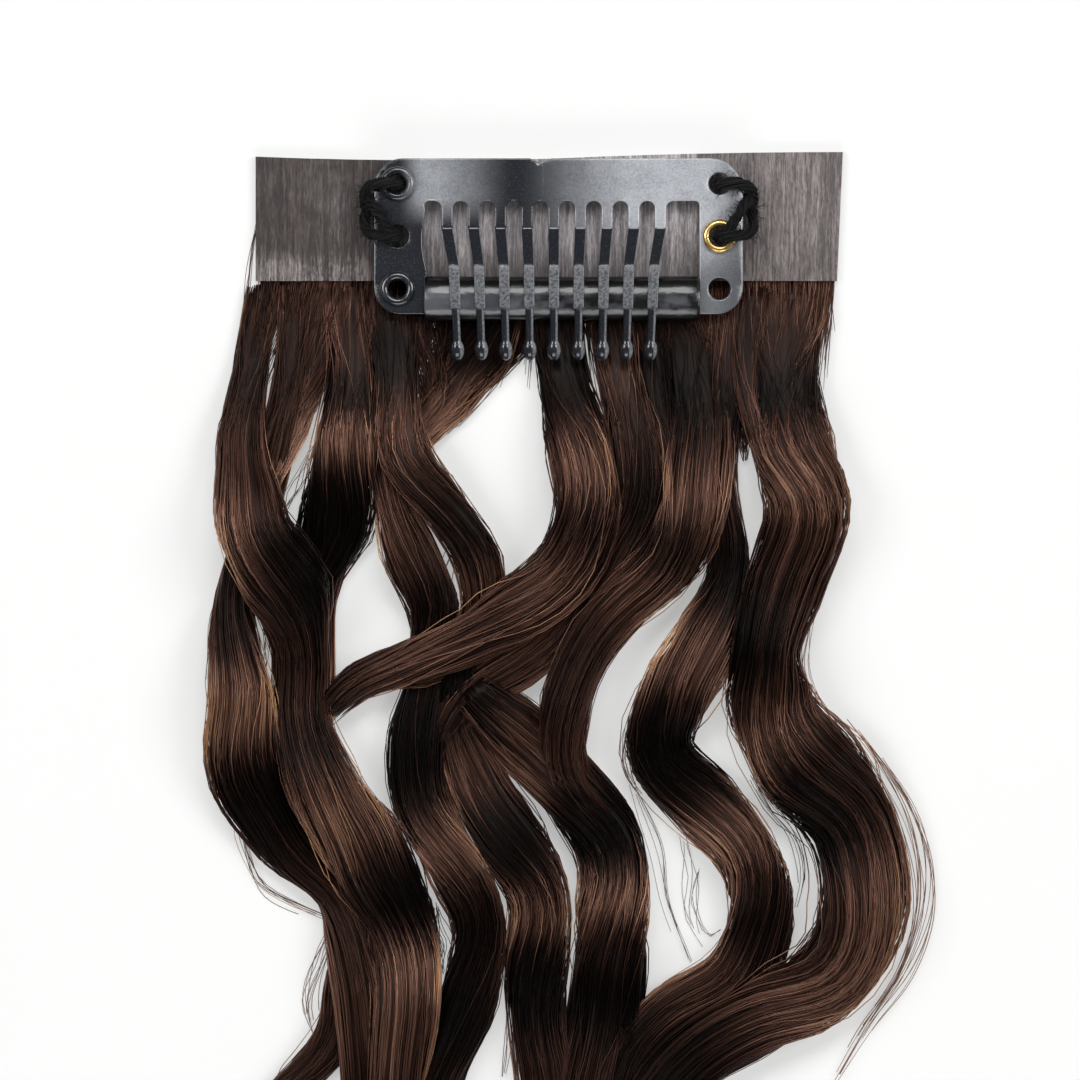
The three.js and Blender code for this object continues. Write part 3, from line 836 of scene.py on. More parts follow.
class Chances:
    """Seeded draws, one for each of a number of strands."""

    def __init__(self, draw: np.random.Generator, count: int) -> None:
        """Starts the draws.

        Args:
            draw: What they come from.
            count: How many strands there are.
        """
        self.draw = draw
        self.count = count

    def even(self, low: float, high: float) -> np.ndarray:
        """An even draw for each strand, as a column."""
        return self.draw.uniform(low, high, (self.count, 1))

    def normal(self, middle: float, spread: float) -> np.ndarray:
        """A normal draw for each strand, as a column."""
        return self.draw.normal(middle, spread, (self.count, 1))

    def gloss(self) -> np.ndarray:
        """A gloss for each strand."""
        return np.clip(self.normal(0.5, 0.2)[:, 0], 0, 1)

    def wave(self, share: np.ndarray, fewest: float, most: float) -> np.ndarray:
        """Sine waves along strands, each with its own number of them and its own start.

        Args:
            share: The shares of the way along.
            fewest: The fewest waves.
            most: The most waves.

        Returns:
            The waves, from -1 to 1.
        """
        return np.sin(2 * math.pi * (share * self.even(fewest, most) + self.even(0, 1)))


class Turn(NamedTuple):
    """One row of a lock: where it passes and how big it is there, in shares."""

    across: float
    down: float
    width: float
    lift: float


class PaintedLightBand(NamedTuple):
    """A stretch of a lock with a painted highlight or painted shade, in shares, stronger on its right where
    side is positive.
    """

    down: float
    reach: float
    amount: float
    side: float = 0.0


class Lock(NamedTuple):
    """One lock of hair, as its turns from root to end and its bands of painted highlight and painted shade.
    """

    name: str
    body: float
    turns: tuple[Turn, ...]
    painted_light_bands: tuple[PaintedLightBand, ...]
    tip: tuple[float, float] | None

    @property
    def rooted(self) -> bool:
        """Whether it starts under the film."""
        return self.turns[0].down <= 0

    def painted_light(self, down: np.ndarray, across: np.ndarray) -> np.ndarray:
        """How much painted highlight or painted shade the lock gets at places in it.

        Args:
            down: How far down the places are, as a share.
            across: Where they are across the lock, from -1 to 1.

        Returns:
            What is added to its tone.
        """
        total = np.zeros(np.broadcast(down, across).shape)
        for band in self.painted_light_bands:
            near = np.exp(-np.abs((down - band.down) / (1.1 * band.reach)) ** 3)
            total += band.amount * near * np.clip(1 + band.side * across, 0, 1.7)
        return 1.15 * total


def scaled(kind: Callable[..., Any], scales: Sequence[int], rows: Rows) -> tuple[Any, ...]:
    """Makes things from rows of whole numbers.

    Args:
        kind: What each row becomes.
        scales: What each column is divided by.
        rows: The rows.

    Returns:
        What was made.
    """
    return tuple(kind(*(value / scale for value, scale in zip(row, scales))) for row in rows)


def lock(name: str, body: float, turns: Rows, painted_light_bands: Rows, tip: tuple[float, float] | None = None) -> Lock:
    """A lock from rows of whole numbers.

    Args:
        name: Its name.
        body: Its share of the full thickness.
        turns: Across, down and width in thousandths and lift in hundredths.
        painted_light_bands: Painted highlight and shade bands: down and reach in thousandths, amount in
            hundredths, side in tenths.
        tip: Where its free end lies: across, and the share of the tips' length that it reaches.

    Returns:
        The lock.
    """
    made = scaled(Turn, (1000, 1000, 1000, 100), turns)
    return Lock(name, body, made, scaled(PaintedLightBand, (1000, 1000, 100, 10), painted_light_bands), tip)


LOCKS = (
    lock("outer_left", 1.0, (
        (-485, 0, 60, 0), (-508, 100, 70, 0), (-524, 200, 85, 20), (-500, 300, 130, 70),
        (-448, 370, 150, 70), (-425, 460, 95, 30), (-422, 540, 95, 30), (-376, 640, 130, 60),
        (-300, 710, 150, 45), (-255, 800, 130, 10), (-245, 900, 120, 30), (-270, 1000, 110, 20),
    ), (
        (120, 50, -12), (310, 45, 20, -6), (360, 60, -30, 9), (500, 70, -10), (585, 30, -16), (670, 45, 24),
        (770, 50, -34, 5), (840, 35, 22, 9), (950, 70, 12, -5),
    ), (-0.3, 0.6)),
    lock("under_left", 1.0, (
        (-430, 0, 60, 0), (-450, 150, 60, 0), (-500, 300, 70, 0), (-534, 400, 70, 15), (-536, 460, 95, 35),
        (-527, 510, 120, 50), (-512, 610, 135, 20), (-447, 690, 115, 0), (-352, 760, 90, 0),
        (-330, 860, 90, 20), (-310, 1000, 90, 10),
    ), (
        (400, 50, -14), (530, 50, 40), (645, 50, -30), (900, 60, 12, -5),
    ), (-0.34, 0.8)),
    lock("veil_left", 0.4, (
        (-395, 0, 120, 0), (-405, 80, 110, 5), (-440, 160, 80, 10), (-490, 270, 40, 45),
    ), (
        (50, 40, 6), (200, 80, 16),
    )),
    lock("inner_left", 0.9, (
        (-340, 0, 100, 0), (-335, 100, 100, 5), (-345, 200, 110, 25), (-366, 290, 130, 5),
        (-402, 380, 80, 0), (-400, 480, 70, 10), (-400, 580, 70, 25),
    ), (
        (50, 40, 12), (140, 22, -16), (195, 32, 28), (290, 50, -42), (380, 50, -20), (520, 40, 10),
    )),
    lock("fan", 0.35, (
        (-100, 0, 200, 0), (-115, 60, 180, 0), (-160, 120, 115, 3), (-215, 185, 60, 10),
        (-262, 235, 35, 20),
    ), (
        (50, 35, -24), (170, 70, 18, 5),
    )),
    lock("hook", 0.8, (
        (-275, 0, 90, 0), (-265, 110, 90, 10), (-245, 210, 90, 35), (-172, 285, 75, 45),
        (-119, 350, 84, 25), (-120, 420, 70, 15), (-190, 470, 70, 30), (-290, 490, 50, 40),
    ), (
        (90, 35, -20), (175, 35, 20), (310, 35, -16, 4), (380, 30, 18), (480, 20, 6),
    )),
    lock("middle_left", 0.9, (
        (-300, 0, 60, 0), (-290, 140, 50, 0), (-266, 260, 70, 5), (-236, 340, 96, 15), (-196, 410, 90, 0),
        (-205, 490, 80, 0), (-228, 570, 100, 10), (-222, 640, 100, 10), (-158, 730, 100, 35),
        (-120, 800, 90, 15), (-138, 890, 105, 5), (-190, 1000, 80, 10),
    ), (
        (120, 50, -20), (300, 50, 16, -5), (420, 40, -16, 6), (570, 70, -36), (700, 35, 26), (800, 40, -16),
        (920, 60, -30),
    ), (-0.21, 0.5)),
    lock("middle", 0.9, (
        (-150, 460, 70, 35), (-160, 540, 70, 0), (-125, 620, 110, 5), (-68, 690, 120, 25),
        (-21, 760, 110, 30), (-22, 840, 110, 10), (-18, 930, 100, 10), (-2, 1000, 105, 10),
    ), (
        (500, 45, -34), (610, 35, 16, -6), (690, 40, -26), (785, 28, 28), (875, 45, -40),
    ), (0.03, 0.9)),
    lock("lower_centre", 1.0, (
        (-130, 500, 90, 30), (-40, 570, 130, 5), (40, 630, 120, 25), (100, 700, 120, 10),
        (106, 790, 125, 35), (99, 880, 135, 5), (75, 1000, 135, 10),
    ), (
        (500, 30, -10), (575, 35, 16), (675, 45, -38), (765, 30, 28), (840, 25, -12), (900, 35, -38),
    ), (0.06, 1)),
    lock("sweep", 1.0, (
        (10, 0, 90, 0), (20, 90, 100, 0), (45, 200, 120, 30), (62, 280, 120, 45), (35, 345, 120, 40),
        (-45, 400, 120, 50), (-135, 445, 90, 55), (-245, 472, 75, 45), (-330, 496, 65, 25),
        (-390, 540, 50, 15),
    ), (
        (110, 50, -24), (235, 35, 22), (300, 30, -12), (385, 35, 16), (465, 20, 16),
    )),
    lock("under_sweep", 0.9, (
        (100, 0, 90, 0), (115, 100, 90, 0), (148, 200, 90, 20), (150, 280, 90, 25), (105, 350, 100, 15),
        (30, 410, 110, 15), (-60, 465, 110, 25), (-145, 515, 90, 10), (-190, 570, 70, 5),
    ), (
        (110, 30, 12), (180, 30, -10), (270, 40, -20), (450, 50, 6),
    )),
    lock("filler", 0.7, (
        (170, 0, 70, 0), (178, 120, 70, 0), (195, 220, 70, 20), (190, 300, 70, 20), (140, 370, 70, 20),
    ), (
        (130, 60, -34), (255, 30, 18), (350, 30, -20),
    )),
    lock("centre_right", 1.0, (
        (235, 0, 100, 0), (240, 100, 110, 0), (255, 200, 120, 20), (248, 280, 120, 50), (200, 345, 110, 45),
        (120, 400, 100, 30), (60, 460, 90, 35), (25, 530, 90, 45), (32, 600, 80, 30), (95, 670, 80, 20),
    ), (
        (20, 20, -10), (120, 50, -24, -6), (265, 40, 22), (330, 20, -10), (390, 25, 20), (500, 50, -4),
        (600, 40, 6),
    )),
    lock("inner_right", 1.0, (
        (310, 0, 60, 0), (300, 120, 70, 0), (290, 240, 55, 5), (304, 350, 70, 0), (275, 440, 120, 25),
        (215, 510, 120, 35), (187, 580, 120, 5), (268, 650, 126, 5), (342, 720, 110, 35),
        (362, 790, 110, 10), (322, 865, 120, 0), (210, 915, 115, 0), (110, 1000, 100, 10),
    ), (
        (40, 40, 10), (170, 50, -24), (360, 40, -40), (470, 40, 24), (585, 50, -40), (690, 40, 20),
        (800, 35, -18), (890, 30, 14), (970, 40, -20),
    ), (0.09, 0.8)),
    lock("outer_right", 1.1, (
        (415, 0, 140, 0), (398, 100, 140, 5), (413, 200, 150, 15), (435, 280, 148, 45), (400, 370, 136, 30),
        (365, 460, 115, 45), (378, 530, 155, 20), (442, 600, 190, 35), (516, 680, 155, 10),
        (533, 770, 156, 30), (481, 855, 150, 25), (350, 915, 130, 35), (235, 965, 130, 30),
        (170, 1030, 120, 20),
    ), (
        (30, 35, 14), (135, 30, -30, -3), (250, 60, 16), (350, 30, -4), (450, 50, -26, -8),
        (555, 30, 14, -6), (660, 60, -30, -4), (750, 120, 16, 10), (890, 30, 10), (980, 40, -24),
    ), (0.13, 0.7)),
    lock("ridge_right", 0.6, (
        (350, 0, 60, 0), (335, 120, 60, 15), (372, 210, 55, 30), (398, 285, 45, 50), (378, 350, 45, 45),
        (335, 430, 60, 40), (335, 510, 50, 45),
    ), (
        (150, 50, 10), (280, 60, 14), (400, 40, -16),
    )),
    lock("flick_left", 0.7, (
        (-310, 780, 70, 20), (-342, 870, 80, 20), (-358, 930, 80, 5), (-410, 980, 70, 0),
        (-490, 1040, 50, 0),
    ), (
        (900, 40, 6),
    ), (-0.56, 0.25)),
)


class Stray(NamedTuple):
    """A few single strands that share a route of across, down and height in millimetres."""

    count: int
    spread: float
    tone: float
    fineness: float
    route: tuple[Triple, ...]


def stray(count: int, spread: float, tone: float, fineness: float, *route: Triple) -> Stray:
    """Strands from rows of whole numbers.

    Args:
        count: How many there are.
        spread: How far they stand apart, in millimetres.
        tone: How light they are.
        fineness: Their thickness as a share of a lock's strands.
        route: Across and down in thousandths, and height in tenths of a millimetre.

    Returns:
        The strands.
    """
    return Stray(count, spread, tone, fineness, scaled(lambda *row: row, (1000, 1000, 10), route))


STRAYS = (
    stray(34, 0.55, 0.3, 1.1, (322, 120, 6), (328, 170, 5), (334, 222, 5)),
    stray(9, 0.8, 0.25, 0.8, (-195, 770, 5), (-182, 810, 5), (-178, 860, 5)),
    stray(60, 1.3, 0.2, 1.0, (-250, 0, 5), (-238, 50, 7), (-224, 100, 8), (-206, 160, 8)),
    stray(60, 1.3, 0.18, 1.0, (-215, 0, 5), (-206, 50, 7), (-200, 100, 8), (-190, 160, 8)),
    stray(16, 0.9, 0.66, 0.8,
          (500, 540, 20), (563, 599, 14), (612, 661, 9), (634, 724, 6), (632, 786, 5), (598, 861, 5),
          (540, 924, 5), (480, 999, 6)),
    stray(9, 0.6, 0.6, 0.7,
          (400, 340, 16), (442, 385, 10), (436, 440, 6), (434, 480, 5), (448, 510, 6), (480, 545, 12)),
    stray(8, 0.8, 0.5, 0.7, (-530, 660, 9), (-520, 700, 4), (-492, 749, 2), (-440, 774, 2), (-355, 799, 6)),
    stray(9, 0.7, 0.5, 0.7, (-345, 775, 6), (-364, 805, 3), (-405, 890, 2), (-393, 949, 3)),
    stray(6, 0.35, 0.4, 0.7,
          (-495, -90, 3), (-505, -50, 2), (-516, 11, 2), (-525.5, 61, 3), (-530, 120, 6)),
    stray(5, 0.4, 0.3, 0.7, (340, 610, 12), (372, 650, 3), (415, 690, 2), (430, 735, 2), (418, 785, 3)),
    stray(5, 0.6, 0.3, 0.6, (140, 620, 10), (178, 700, 3), (196, 770, 2), (240, 850, 3)),
    stray(4, 0.9, 0.3, 0.6, (225, 680, 3), (232, 740, 2), (236, 790, 2), (262, 830, 3)),
    stray(3, 0.3, 0.3, 0.6, (255, 730, 2), (246, 775, 2), (275, 815, 2), (300, 800, 3)),
    stray(8, 0.5, 0.45, 0.7, (168, 490, 12), (136, 548, 5), (127, 580, 3), (132, 612, 4), (165, 645, 10)),
    stray(7, 0.6, 0.5, 0.8, (-45, 30, 8), (-80, 110, 5), (-150, 170, 4), (-205, 205, 6)),
    stray(5, 0.9, 0.4, 0.7, (-150, 260, 14), (-165, 310, 4), (-180, 360, 5), (-170, 400, 10)),
    stray(5, 0.6, 0.45, 0.7, (-375, 290, 10), (-372, 360, 4), (-376, 430, 4), (-385, 490, 8)),
    stray(6, 0.9, 0.4, 0.7, (-395, 190, 10), (-430, 240, 4), (-455, 280, 5), (-470, 310, 10)),
    stray(4, 0.5, 0.4, 0.7, (-225, 490, 10), (-235, 550, 3), (-245, 610, 3), (-250, 660, 6)),
    stray(4, 0.3, 0.4, 0.7, (-75, 860, 6), (-70, 900, 3), (-72, 950, 2), (-80, 1000, 3)),
    stray(4, 0.3, 0.35, 0.7, (-487, 425, 6), (-480, 455, 2), (-482, 480, 3)),
    stray(6, 0.5, 0.55, 0.7, (-540, 350, 8), (-562, 400, 5), (-575, 450, 5), (-583, 500, 6)),
)


class Flow(NamedTuple):
    """A lock worked out along its length, in metres."""

    length: float
    middle: np.ndarray
    side: np.ndarray
    width: np.ndarray
    height: np.ndarray
    down: np.ndarray

    def at(self, share: np.ndarray) -> "Flow":
        """The lock at other shares of its length.

        Args:
            share: The shares, of any shape.

        Returns:
            The lock there, each field shaped as the shares are.
        """
        known = np.linspace(0, 1, len(self.width))

        def taken(values: np.ndarray) -> np.ndarray:
            """One field, looked up."""
            if values.ndim == 1:
                return np.interp(share, known, values)
            return np.stack([np.interp(share, known, column) for column in values.T], axis=-1)

        return Flow(self.length, *(taken(field) for field in self[1:]))


@dataclass
class Clumps:
    """How a lock's strands gather into clumps round its outline."""

    seed: int
    middles: np.ndarray
    halves: np.ndarray
    sway: Callable[[np.ndarray], np.ndarray]
    depth: float = 0.16

    @classmethod
    def of(cls, flow: Flow, number: int) -> "Clumps":
        """Draws the clumps of one lock.

        Args:
            flow: The lock worked out.
            number: The lock's number.

        Returns:
            The clumps.
        """
        draw = np.random.default_rng(Seed.CLUMPS + number)
        sizes = draw.uniform(0.5, 1.6, max(7, round(float(flow.width.mean()) / MM * 2.6)))
        ends = np.cumsum(sizes) / sizes.sum()
        starts = np.concatenate([[0.0], ends[:-1]])
        waves = max(1.0, flow.length / (34 * MM))
        first, second = draw.uniform(0, 1, 2)

        def sway(share: np.ndarray) -> np.ndarray:
            """How far the strands have moved round the lock."""
            slow = 0.06 * np.sin(2 * math.pi * (share * waves + first))
            return slow + 0.025 * np.sin(2 * math.pi * (share * waves * 2.3 + second))

        return cls(Seed.LOCKS + number * 10, (starts + ends) / 2, (ends - starts) / 2, sway)

    def _nearest(self, turn: np.ndarray) -> tuple[np.ndarray, np.ndarray]:
        """The clump that a place belongs to, and how far off its middle the place is.

        Args:
            turn: Shares of the way round, before any sway.

        Returns:
            The clump's number, and the distance as a share of its half width.
        """
        edges = self.middles + self.halves
        number = np.minimum(np.searchsorted(edges, turn % 1.0), len(edges) - 1)
        return number, ((turn % 1.0) - self.middles[number]) / self.halves[number]

    def gather(self, start: np.ndarray, share: np.ndarray, chances: Chances) -> np.ndarray:
        """Where strands lie round the lock along its length.

        Args:
            start: Where each one starts.
            share: The shares of the lock's length.
            chances: The chance draws.

        Returns:
            The shares of the way round.
        """
        number, off = self._nearest(start)
        slow = 0.3 * chances.wave(share, 0.6, 2.2)
        inside = np.clip(off * 0.8 + slow, -1, 1) * self.halves[number]
        return np.floor(start) + self.middles[number] + inside + self.sway(share)

    def ridge(self, turn: np.ndarray, share: np.ndarray) -> np.ndarray:
        """How far out the lock's surface stands, 1 on a clump's back and less between clumps.

        Args:
            turn: Shares of the way round.
            share: The shares of the lock's length.

        Returns:
            The share of the full section.
        """
        number, off = self._nearest(turn - self.sway(share))
        backs = 1.0 - 0.09 * ((number * 7 + self.seed) % 5) / 4
        return backs - self.depth * off**2

    def tones(self, start: np.ndarray, chances: Chances) -> np.ndarray:
        """A tone for each clump, given to its strands."""
        number, _ = self._nearest(start)
        return chances.draw.normal(0, 0.05, len(self.middles))[number]


@dataclass
class HairPiece:
    """All the hair: the roots under the film, the locks strand by strand, and the strays.

    The roots' lean and shade are given at places along the film, in millimetres.
    """

    weft_width: float = 51 * MM
    weft_foot: float = -5.4 * MM
    gap: float = 0.3 * MM
    drop: float = 69.6 * MM
    tip_length: float = 20 * MM
    thickness: float = 2.6 * MM
    root_thickness: float = 0.7 * MM
    root_depth: float = 3.4 * MM
    root_inset: float = 0.5 * MM
    root_shift: float = -0.2 * MM
    root_steps: int = 8
    loft: float = 5 * MM
    grown_from: Span = (0.03, 0.2)
    section_step: float = 0.6 * MM
    core_step: float = 1.3 * MM
    core_sides: int = 40
    core: float = 0.88
    strand_step: float = 2.2 * MM
    strand: float = 0.052 * MM
    density: float = 44.0
    quick_share: float = 0.4
    tone: float = 0.395
    flatness: float = 0.45
    lean_at: tuple[float, ...] = (-25, -20, -15, -11, -7, -3, -1, 3, 8, 11, 14, 19, 25)
    lean_by: tuple[float, ...] = (-0.15, -0.35, -0.25, -0.15, -0.55, -0.6, 0, 0.1, 0.35, 0.4, 0.1, 0, -0.1)
    shade_at: tuple[float, ...] = (-24, -18, -14, -12, -2, 4, 10, 13, 16, 25)
    shade_by: tuple[float, ...] = (-0.05, 0.06, 0.02, -0.24, -0.18, -0.2, -0.16, 0.06, 0.1, 0.12)

    def place(self, across: float, down: float) -> tuple[float, float]:
        """The x and y of a place given in shares."""
        return across * self.weft_width, self.weft_foot - self.gap - down * self.drop

    def flow(self, piece: Lock) -> Flow:
        """Works a lock out along its length.

        Args:
            piece: The lock.

        Returns:
            Its middle line, sideways direction and size at close steps.
        """
        full = self.thickness * piece.body
        thin = min(self.root_thickness, full)
        points = []
        for turn in piece.turns:
            grown = smooth_step(turn.down, *self.grown_from) if piece.rooted else 1.0
            height = thin + (full - thin) * grown
            points.append((*self.place(turn.across, turn.down), turn.lift * self.loft + height / 2))
        widths = [turn.width * self.weft_width for turn in piece.turns]
        if piece.tip:
            x, body_end = self.place(piece.tip[0], 1.0)
            points.append((x, min(points[-1][1], body_end) - piece.tip[1] * self.tip_length, full / 4))
            widths.append(widths[-1] * 0.25)
        points, widths = np.array(points), np.array(widths)
        length = span_of(points)
        count = max(8, round(length / self.section_step) + 1)
        middle, place = even_curve(points, count)
        row = np.minimum(place.astype(int), len(widths) - 2)
        between = smooth_step(place - row, 0, 1)
        width = widths[row] * (1 - between) + widths[row + 1] * between
        down = (self.weft_foot - self.gap - middle[:, 1]) / self.drop
        whole = np.ones(count)
        grown = smooth_step(down, *self.grown_from) if piece.rooted else whole
        taper = 1 - 0.6 * smooth_step(np.linspace(0, 1, count), 0.85, 1) if piece.tip else whole
        height = (thin + (full - thin) * grown) * taper
        side = self._sides(middle, smooth_step(down, 0.0, 0.06) if piece.rooted else whole)
        middle[:, 2] = np.maximum(middle[:, 2], height / 2)
        return Flow(length, middle, side, width, height, down)

    def _sides(self, middle: np.ndarray, loosened: np.ndarray) -> np.ndarray:
        """The level direction across a lock, along the weft at its root.

        Args:
            middle: The lock's middle line.
            loosened: 0 where the weft holds it, 1 where it runs free.

        Returns:
            The direction at each point.
        """
        along = np.gradient(middle, axis=0)
        reach = round(3 * MM / self.section_step)
        kernel = np.ones(2 * reach + 1) / (2 * reach + 1)
        padded = np.pad(along, ((reach, reach), (0, 0)), mode="edge")
        along = np.stack([np.convolve(padded[:, axis], kernel, "valid") for axis in range(3)], axis=-1)
        side = unit(np.stack([-along[:, 1], along[:, 0], np.zeros(len(along))], axis=-1))
        straight = np.array([1.0, 0.0, 0.0])
        return unit(straight + (side - straight) * loosened[:, None])

    def _around(self, turn: np.ndarray) -> np.ndarray:
        """A place on a lock's flat round outline.

        Args:
            turn: The share of the way round, from the right edge over the top.

        Returns:
            The place across and up, from -1 to 1.
        """
        angle = np.linspace(0, 2 * math.pi, 721)
        outline = np.stack([np.cos(angle), np.sin(angle) * self.flatness])
        run = np.concatenate([[0.0], np.cumsum(np.linalg.norm(np.diff(outline, axis=1), axis=0))])
        found = np.interp(turn % 1.0, run / run[-1], angle)
        return np.stack([np.cos(found), np.sin(found)], axis=-1)

    def _lay(self, flow: Flow, disc: np.ndarray, floor: float) -> np.ndarray:
        """Turns places in a lock's section into places in space.

        Args:
            flow: The lock, shaped as the places are.
            disc: Places across and up in its section, from -1 to 1.
            floor: The lowest height.

        Returns:
            The points.
        """
        across = (disc[..., 0] * flow.width / 2)[..., None] * flow.side
        over = (disc[..., 1] * flow.height / 2)[..., None] * UP
        points = flow.middle + across + over
        points[..., 2] = np.maximum(points[..., 2], floor)
        return points

    def _core(self, skins: Skins, flow: Flow, piece: Lock, clumps: Clumps) -> None:
        """Adds the mass of hair inside a lock, ridged as its clumps are, coloured dark as painted shade.

        Args:
            skins: What it is added to.
            flow: The lock worked out.
            piece: The lock.
            clumps: Its clumps.
        """
        sides = self.core_sides
        count = max(8, round(flow.length / self.core_step))
        share = np.linspace(0, 1, count)
        here = flow.at(np.repeat(share[:, None], sides, axis=1))
        turn = np.repeat((np.arange(sides) / sides)[None], count, axis=0)
        foot = (0.975 - share) * 8 if piece.tip else (1 - share) * 9 + 0.6
        ends = np.minimum(np.minimum(1.0, share * 14 + 0.6), np.maximum(foot, 0.03))
        reach = self.core * clumps.ridge(turn, share[:, None]) * ends[:, None]
        rings = self._lay(here, self._around(turn) * reach[..., None], 0.02 * MM)
        draw = np.random.default_rng(clumps.seed + Seed.CORE)
        streaks = np.repeat(draw.normal(0, 0.04, (1, sides)), count, axis=0)
        painted_light_bands = piece.painted_light(here.down, self._around(turn)[..., 0])
        # Painted shade: the core keeps a dark tone, with the painted highlight and shade bands on it.
        tones = np.clip(0.16 + streaks + 0.7 * painted_light_bands, 0.02, 0.6)
        skins.rings(rings[None, :, ::-1], tones[None, :, ::-1], np.array([0.3]))

    def _strands(self, skins: Skins, flow: Flow, piece: Lock, clumps: Clumps) -> None:
        """Adds a lock's strands, gathered in clumps.

        Args:
            skins: What they are added to.
            flow: The lock worked out.
            piece: The lock.
            clumps: Its clumps.
        """
        share = 1.0
        number = max(16, round(self.density * share * float(flow.width.mean()) / MM))
        steps = max(6, round(flow.length / self.strand_step) + 1)
        run = np.linspace(0, 1, steps)
        chances = Chances(np.random.default_rng(clumps.seed), number)
        first = chances.even(0, 0.02 if piece.rooted else 0.12)
        last = chances.even(0.84, 1.0) ** 0.7 if piece.tip else chances.even(0.9, 1.0)
        t = first + (last - first) * run
        here = flow.at(t)
        start = np.where(chances.even(0, 1) < 0.8, chances.even(-0.05, 0.55), chances.even(0.55, 0.95))
        turn = clumps.gather(start, t, chances)
        layer = 0.975 + 0.06 * chances.normal(0, 1).clip(-1.6, 1.1)
        loose = chances.even(0, 1) < 0.07
        away = np.sin(math.pi * np.clip(t * 1.5 - chances.even(0, 0.5), 0, 1))
        free = 0.28 * loose * away * chances.even(0.2, 1.0)
        turn = turn + loose * 0.08 * chances.wave(t, 0.5, 1.5)
        reach = clumps.ridge(turn, t) * layer + free
        disc = self._around(turn) * reach[..., None]
        if piece.rooted:
            flat = np.stack([chances.even(-1, 1), chances.even(-0.5, 0.9)], axis=-1)
            disc = flat + (disc - flat) * smooth_step(here.down, 0.02, 0.20)[..., None]
        # Painted rim light: strands near the lock's two sides get a lighter tone.
        edge = np.abs(disc[..., 0]).clip(0, 1.1) ** 6
        base = chances.normal(0, 0.05) + clumps.tones(start, chances)
        pale = (chances.even(0, 1) < 0.05) * chances.even(0.06, 0.19)
        streak = 0.04 * chances.wave(t, 1, 4)
        shifted = here.down + chances.normal(0, 0.014)
        painted_light_bands = piece.painted_light(shifted, disc[..., 0]) * chances.even(0.7, 1.3)
        # The tone holds painted light: the highlight and shade bands, rim light at the sides and on loose
        # strands, and painted shade where strands lie deeper or between clumps.
        tones = self.tone + base + streak + pale + painted_light_bands + 0.23 * edge + 0.06 * loose - 0.5 * (1.0 - reach)
        radii = self.strand * chances.even(0.75, 1.2) * np.minimum(1.0, (1 - run) * 9 + 0.3)
        skins.tubes(self._lay(here, disc, self.strand), radii, np.clip(tones, 0.02, 1.0), chances.gloss())

    def root_band(self, skins: Skins) -> None:
        """Adds the flat sheet of roots that leaves the film, under the tube, and its strands.

        Args:
            skins: What they are added to.
        """
        steps = self.root_steps
        top = self.weft_foot + 0.4 * MM
        foot = self.weft_foot - self.gap - self.root_depth
        half = self.weft_width / 2 - self.root_inset
        run = np.linspace(0, 1, steps)
        corners = np.array([[-1, 0.03], [1, 0.03], [1, 0.40], [-1, 0.40]])
        rings = np.empty((1, steps, len(corners), 3))
        rings[..., 0] = corners[:, 0] * half * (1 - 0.03 * run)[:, None] + self.root_shift
        rings[..., 1] = np.linspace(top, foot, steps)[:, None]
        rings[..., 2] = corners[:, 1] * MM
        # Painted shade: the flat sheet under the root strands is given a dark tone.
        skins.rings(rings, np.full((1, steps), 0.14), np.array([0.2]))
        chances = Chances(np.random.default_rng(Seed.ROOTS), 1300)
        start = chances.even(-half, half)
        length = chances.even(4.0, 10.0) * MM
        lean = np.interp(start / MM, self.lean_at, self.lean_by) + chances.normal(0, 0.07)
        y = top - run * length
        x = self.root_shift + start + lean * length * run**1.5
        past = smooth_step(y, self.weft_foot + 0.1 * MM, self.weft_foot - 0.9 * MM)
        rise = 0.34 + past * 0.22 + chances.normal(0, 0.07) + run * chances.even(0.0, 0.5)
        paths = np.stack([x, y, np.clip(rise, 0.2, 1.2) * MM], axis=-1)
        band = np.interp((start + lean * length * run) / MM, self.shade_at, self.shade_by)
        tones = np.clip(chances.normal(0.40, 0.09) + band, 0.03, 1)
        radii = self.strand * (1 - 0.6 * run**4) * np.ones_like(start)
        skins.tubes(paths, radii, tones, chances.gloss())

    def strays(self, skins: Skins) -> None:
        """Adds the single strands that stand away from the locks.

        Args:
            skins: What they are added to.
        """
        fine = 200
        known = np.linspace(0, 1, fine)
        for number, some in enumerate(STRAYS):
            chances = Chances(np.random.default_rng(Seed.STRAYS + number), some.count)
            points = np.array([(*self.place(across, down), up * MM) for across, down, up in some.route])
            steps = max(8, round(span_of(points) / (1.2 * MM)))
            line, _ = even_curve(points, fine)
            first = chances.even(0, 0.15)
            t = first + (chances.even(0.75, 1.0) - first) * np.linspace(0, 1, steps)
            paths = np.stack([np.interp(t, known, line[:, axis]) for axis in range(3)], axis=-1)
            spread = some.spread * MM * (0.35 + 0.65 * np.sin(math.pi * np.clip(t, 0.05, 1)))
            paths[..., 0] += chances.even(-1, 1) * spread
            paths[..., 1] += chances.even(-1, 1) * spread * 0.7
            paths[..., 0] += chances.wave(t, 0.6, 1.8) * spread * 0.35
            paths[..., 2] = np.maximum(paths[..., 2] + chances.even(-0.2, 0.3) * MM, self.strand)
            tones = np.repeat(np.clip(chances.normal(some.tone + 0.15, 0.1), 0.05, 1), steps, axis=1)
            radii = self.strand * some.fineness * chances.even(0.7, 1.0) * np.ones((1, steps))
            skins.tubes(paths, radii, tones, np.full(some.count, 0.5))

